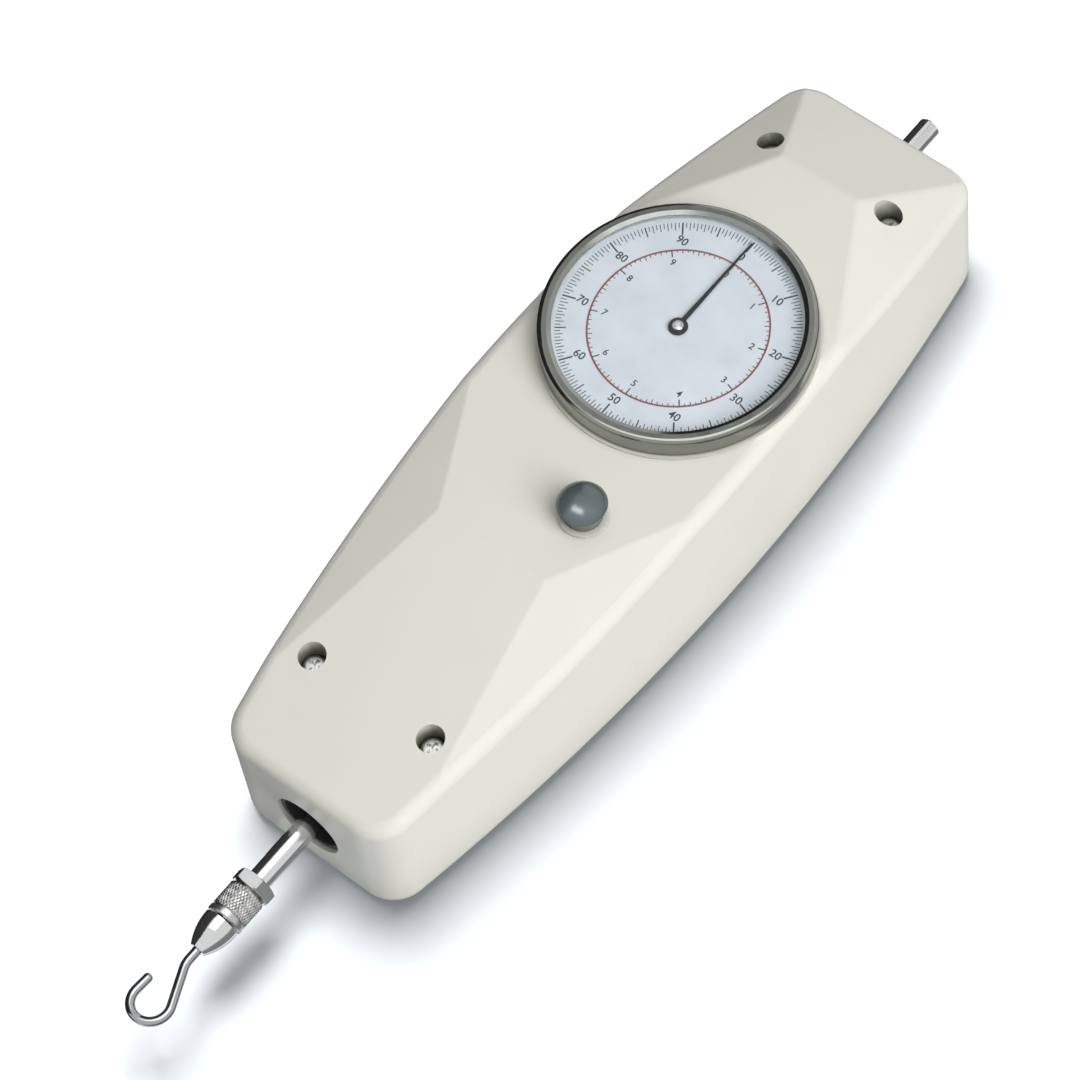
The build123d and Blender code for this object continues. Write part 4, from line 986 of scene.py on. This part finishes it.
def dark_card(name, place, aim, width, depth, level, disc=False):
    """A dark card, rectangular or round, that only polished surfaces see."""
    bm = bmesh.new()
    turn = (Vector(aim) - Vector(place)).to_track_quat("-Z", "Y").to_matrix().to_4x4()
    matrix = Matrix.Translation(place) @ turn @ Matrix.Diagonal((width, depth, 1, 1))
    if disc:
        bmesh.ops.create_circle(bm, cap_ends=True, segments=64, radius=0.5, matrix=matrix)
    else:
        bmesh.ops.create_grid(bm, x_segments=1, y_segments=1, size=0.5, matrix=matrix)
    mesh = mesh_from(name, bm)
    card = link_new(name, mesh)
    material, tree, shader = blank(name)
    shader.inputs["Base Color"].default_value = (level, level, level, 1)
    shader.inputs["Roughness"].default_value = 1.0
    mesh.materials.append(material)
    card.visible_camera = False
    card.visible_diffuse = False
    card.visible_shadow = False
    card.visible_transmission = False


def bench_paper():
    """Pale matt paper with a faint glow, full white towards the far edge of a low view."""
    material = bpy.data.materials.new("bench_paper")
    material.use_nodes = True
    tree = material.node_tree
    tree.nodes.clear()
    output = tree.nodes.new("ShaderNodeOutputMaterial")
    paper = tree.nodes.new("ShaderNodeBsdfDiffuse")
    paper.inputs["Color"].default_value = (0.66, 0.68, 0.70, 1)
    glow = tree.nodes.new("ShaderNodeEmission")
    glow.inputs["Color"].default_value = (0.84, 0.93, 1.0, 1)
    path = tree.nodes.new("ShaderNodeLightPath")
    near = maths(tree, "MULTIPLY", looked_at(tree, path), BENCH_GLOW)
    away = tree.nodes.new("ShaderNodeVectorMath")
    away.operation = "LENGTH"
    tree.links.new(mapped(tree), away.inputs[0])
    far = between(tree, away.outputs["Value"], 0.0, 1.0, GLOW_START, GLOW_FULL)
    glowing = maths(tree, "MULTIPLY_ADD", far, path.outputs["Is Camera Ray"], near)
    tree.links.new(glowing, glow.inputs["Strength"])
    both = tree.nodes.new("ShaderNodeAddShader")
    tree.links.new(paper.outputs["BSDF"], both.inputs[0])
    tree.links.new(glow.outputs["Emission"], both.inputs[1])
    tree.links.new(both.outputs["Shader"], output.inputs["Surface"])
    return material


def bench():
    """Pale floor that shows soft shadows and stays white in the open."""
    bm = bmesh.new()
    bmesh.ops.create_grid(bm, x_segments=1, y_segments=1, size=BENCH_HALF)
    bmesh.ops.translate(bm, verts=bm.verts, vec=(0, 0, BENCH_TOP))
    mesh = mesh_from("bench", bm)
    floor = link_new("bench", mesh)
    mesh.materials.append(bench_paper())
    return floor


def surround():
    """Soft even light from all round, shown white where it is seen."""
    world = bpy.data.worlds.new("surround")
    world.use_nodes = True
    tree = world.node_tree
    tree.nodes.clear()
    output = tree.nodes.new("ShaderNodeOutputWorld")
    lit = tree.nodes.new("ShaderNodeBackground")
    lit.inputs["Color"].default_value = (0.96, 0.98, 1.0, 1)
    lit.inputs["Strength"].default_value = ROUND_LIGHT
    seen = tree.nodes.new("ShaderNodeBackground")
    seen.inputs["Color"].default_value = (1, 1, 1, 1)
    seen.inputs["Strength"].default_value = 1.0
    mix = tree.nodes.new("ShaderNodeMixShader")
    path = tree.nodes.new("ShaderNodeLightPath")
    tree.links.new(looked_at(tree, path), mix.inputs["Fac"])
    tree.links.new(lit.outputs["Background"], mix.inputs[1])
    tree.links.new(seen.outputs["Background"], mix.inputs[2])
    tree.links.new(mix.outputs["Shader"], output.inputs["Surface"])
    bpy.context.scene.world = world


def hang_lamps(floor):
    """Lamps for the object, one for the floor, and one each for the button and the screws."""
    button, screws = NODES["reset_button"], bpy.data.objects["screws"]
    for row in ROOM_LAMPS:
        lamp = area_lamp(*row)
        lamp.visible_glossy = lamp.name != "right"
        share_light(lamp, [floor, button] if lamp.name == "over" else [floor], "EXCLUDE")
    for row, lit in ((BENCH_LAMP, floor), (BUTTON_LAMP, button), (SCREW_LAMP, screws)):
        share_light(area_lamp(*row), [lit], "INCLUDE")


def set_camera(studio):
    """Camera turned, lifted and rolled about its target; gives its place."""
    sine, cosine = math.sin, math.cos
    level_right = Vector((cosine(studio.turn), sine(studio.turn), 0))
    level_forward = Vector((-sine(studio.turn), cosine(studio.turn), 0))
    forward = level_forward * cosine(studio.lift) - Vector((0, 0, sine(studio.lift)))
    up = level_forward * sine(studio.lift) + Vector((0, 0, cosine(studio.lift)))
    right = level_right * cosine(studio.roll) + up * sine(studio.roll)
    up = up * cosine(studio.roll) - level_right * sine(studio.roll)
    place = Vector(studio.target) - forward * studio.distance
    data = bpy.data.cameras.new("camera")
    data.sensor_width = 36.0
    data.lens = studio.focal_length
    data.clip_start, data.clip_end = 0.02, 30.0
    camera = link_new("camera", data)
    camera.matrix_world = Matrix((
        (right.x, up.x, -forward.x, place.x),
        (right.y, up.y, -forward.y, place.y),
        (right.z, up.z, -forward.z, place.z),
        (0, 0, 0, 1),
    ))
    bpy.context.scene.camera = camera
    return place


def hang_glass_card(camera_place, scale_radius):
    """Round dark card where the camera, mirrored in the dial's glass, looks."""
    glass = Vector((DIAL_CENTRE.x, DIAL_CENTRE.y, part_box("crystal")[1].z))
    sight = glass - camera_place
    away = Vector((sight.x, sight.y, -sight.z)).normalized() * GLASS_CARD_DISTANCE
    size = 2 * (scale_radius + GLASS_CARD_MARGIN) * (1 + away.length / sight.length)
    dark_card("glass_card", glass + away, glass, size, size, GLASS_CARD_LEVEL, disc=True)


class GAUGE_OT_stage(bpy.types.Operator):
    """Lay the bench, hang the lamps and cards and set the camera"""
    bl_idname = "gauge.stage"
    bl_label = "Studio"

    def execute(self, context):
        scene = context.scene
        floor = bench()
        surround()
        hang_lamps(floor)
        for row in CARDS:
            dark_card(*row)
        hang_glass_card(set_camera(scene.gauge_studio), scene.gauge_dial.outer_radius)
        scene.view_settings.view_transform = "Standard"
        return {"FINISHED"}


# ---------------------------------------------------------------- panel and run

OPERATORS = (
    GAUGE_OT_case, GAUGE_OT_case_screws, GAUGE_OT_button, GAUGE_OT_dial, GAUGE_OT_pointer,
    GAUGE_OT_bezel, GAUGE_OT_shaft, GAUGE_OT_springs, GAUGE_OT_works, GAUGE_OT_stage,
)
SETTINGS = {
    "gauge_enamel": EnamelSettings,
    "gauge_dial": DialSettings,
    "gauge_knurl": KnurlSettings,
    "gauge_studio": StudioSettings,
}


class GAUGE_PT_panel(bpy.types.Panel):
    """Sizes, colours and pieces of the force gauge"""
    bl_label = "Force Gauge"
    bl_idname = "GAUGE_PT_panel"
    bl_space_type = "VIEW_3D"
    bl_region_type = "UI"
    bl_category = "Force Gauge"

    def draw(self, context):
        for name, group in SETTINGS.items():
            box = self.layout.box()
            settings = getattr(context.scene, name)
            for field in group.__annotations__:
                box.prop(settings, field)
        for operator in OPERATORS:
            self.layout.operator(operator.bl_idname)


CLASSES = (*SETTINGS.values(), *OPERATORS, GAUGE_PT_panel)


def register():
    for cls in CLASSES:
        bpy.utils.register_class(cls)
    for name, group in SETTINGS.items():
        setattr(bpy.types.Scene, name, PointerProperty(type=group))


def unregister():
    for name in SETTINGS:
        delattr(bpy.types.Scene, name)
    for cls in reversed(CLASSES):
        bpy.utils.unregister_class(cls)


def main():
    register()
    bpy.ops.gauge.case()
    bpy.ops.gauge.case_screws()
    bpy.ops.gauge.button()
    bpy.ops.gauge.dial()
    bpy.ops.gauge.pointer()
    bpy.ops.gauge.bezel()
    bpy.ops.gauge.shaft()
    bpy.ops.gauge.springs()
    bpy.ops.gauge.works()
    bpy.ops.gauge.stage()


if __name__ == "__main__":
    main()
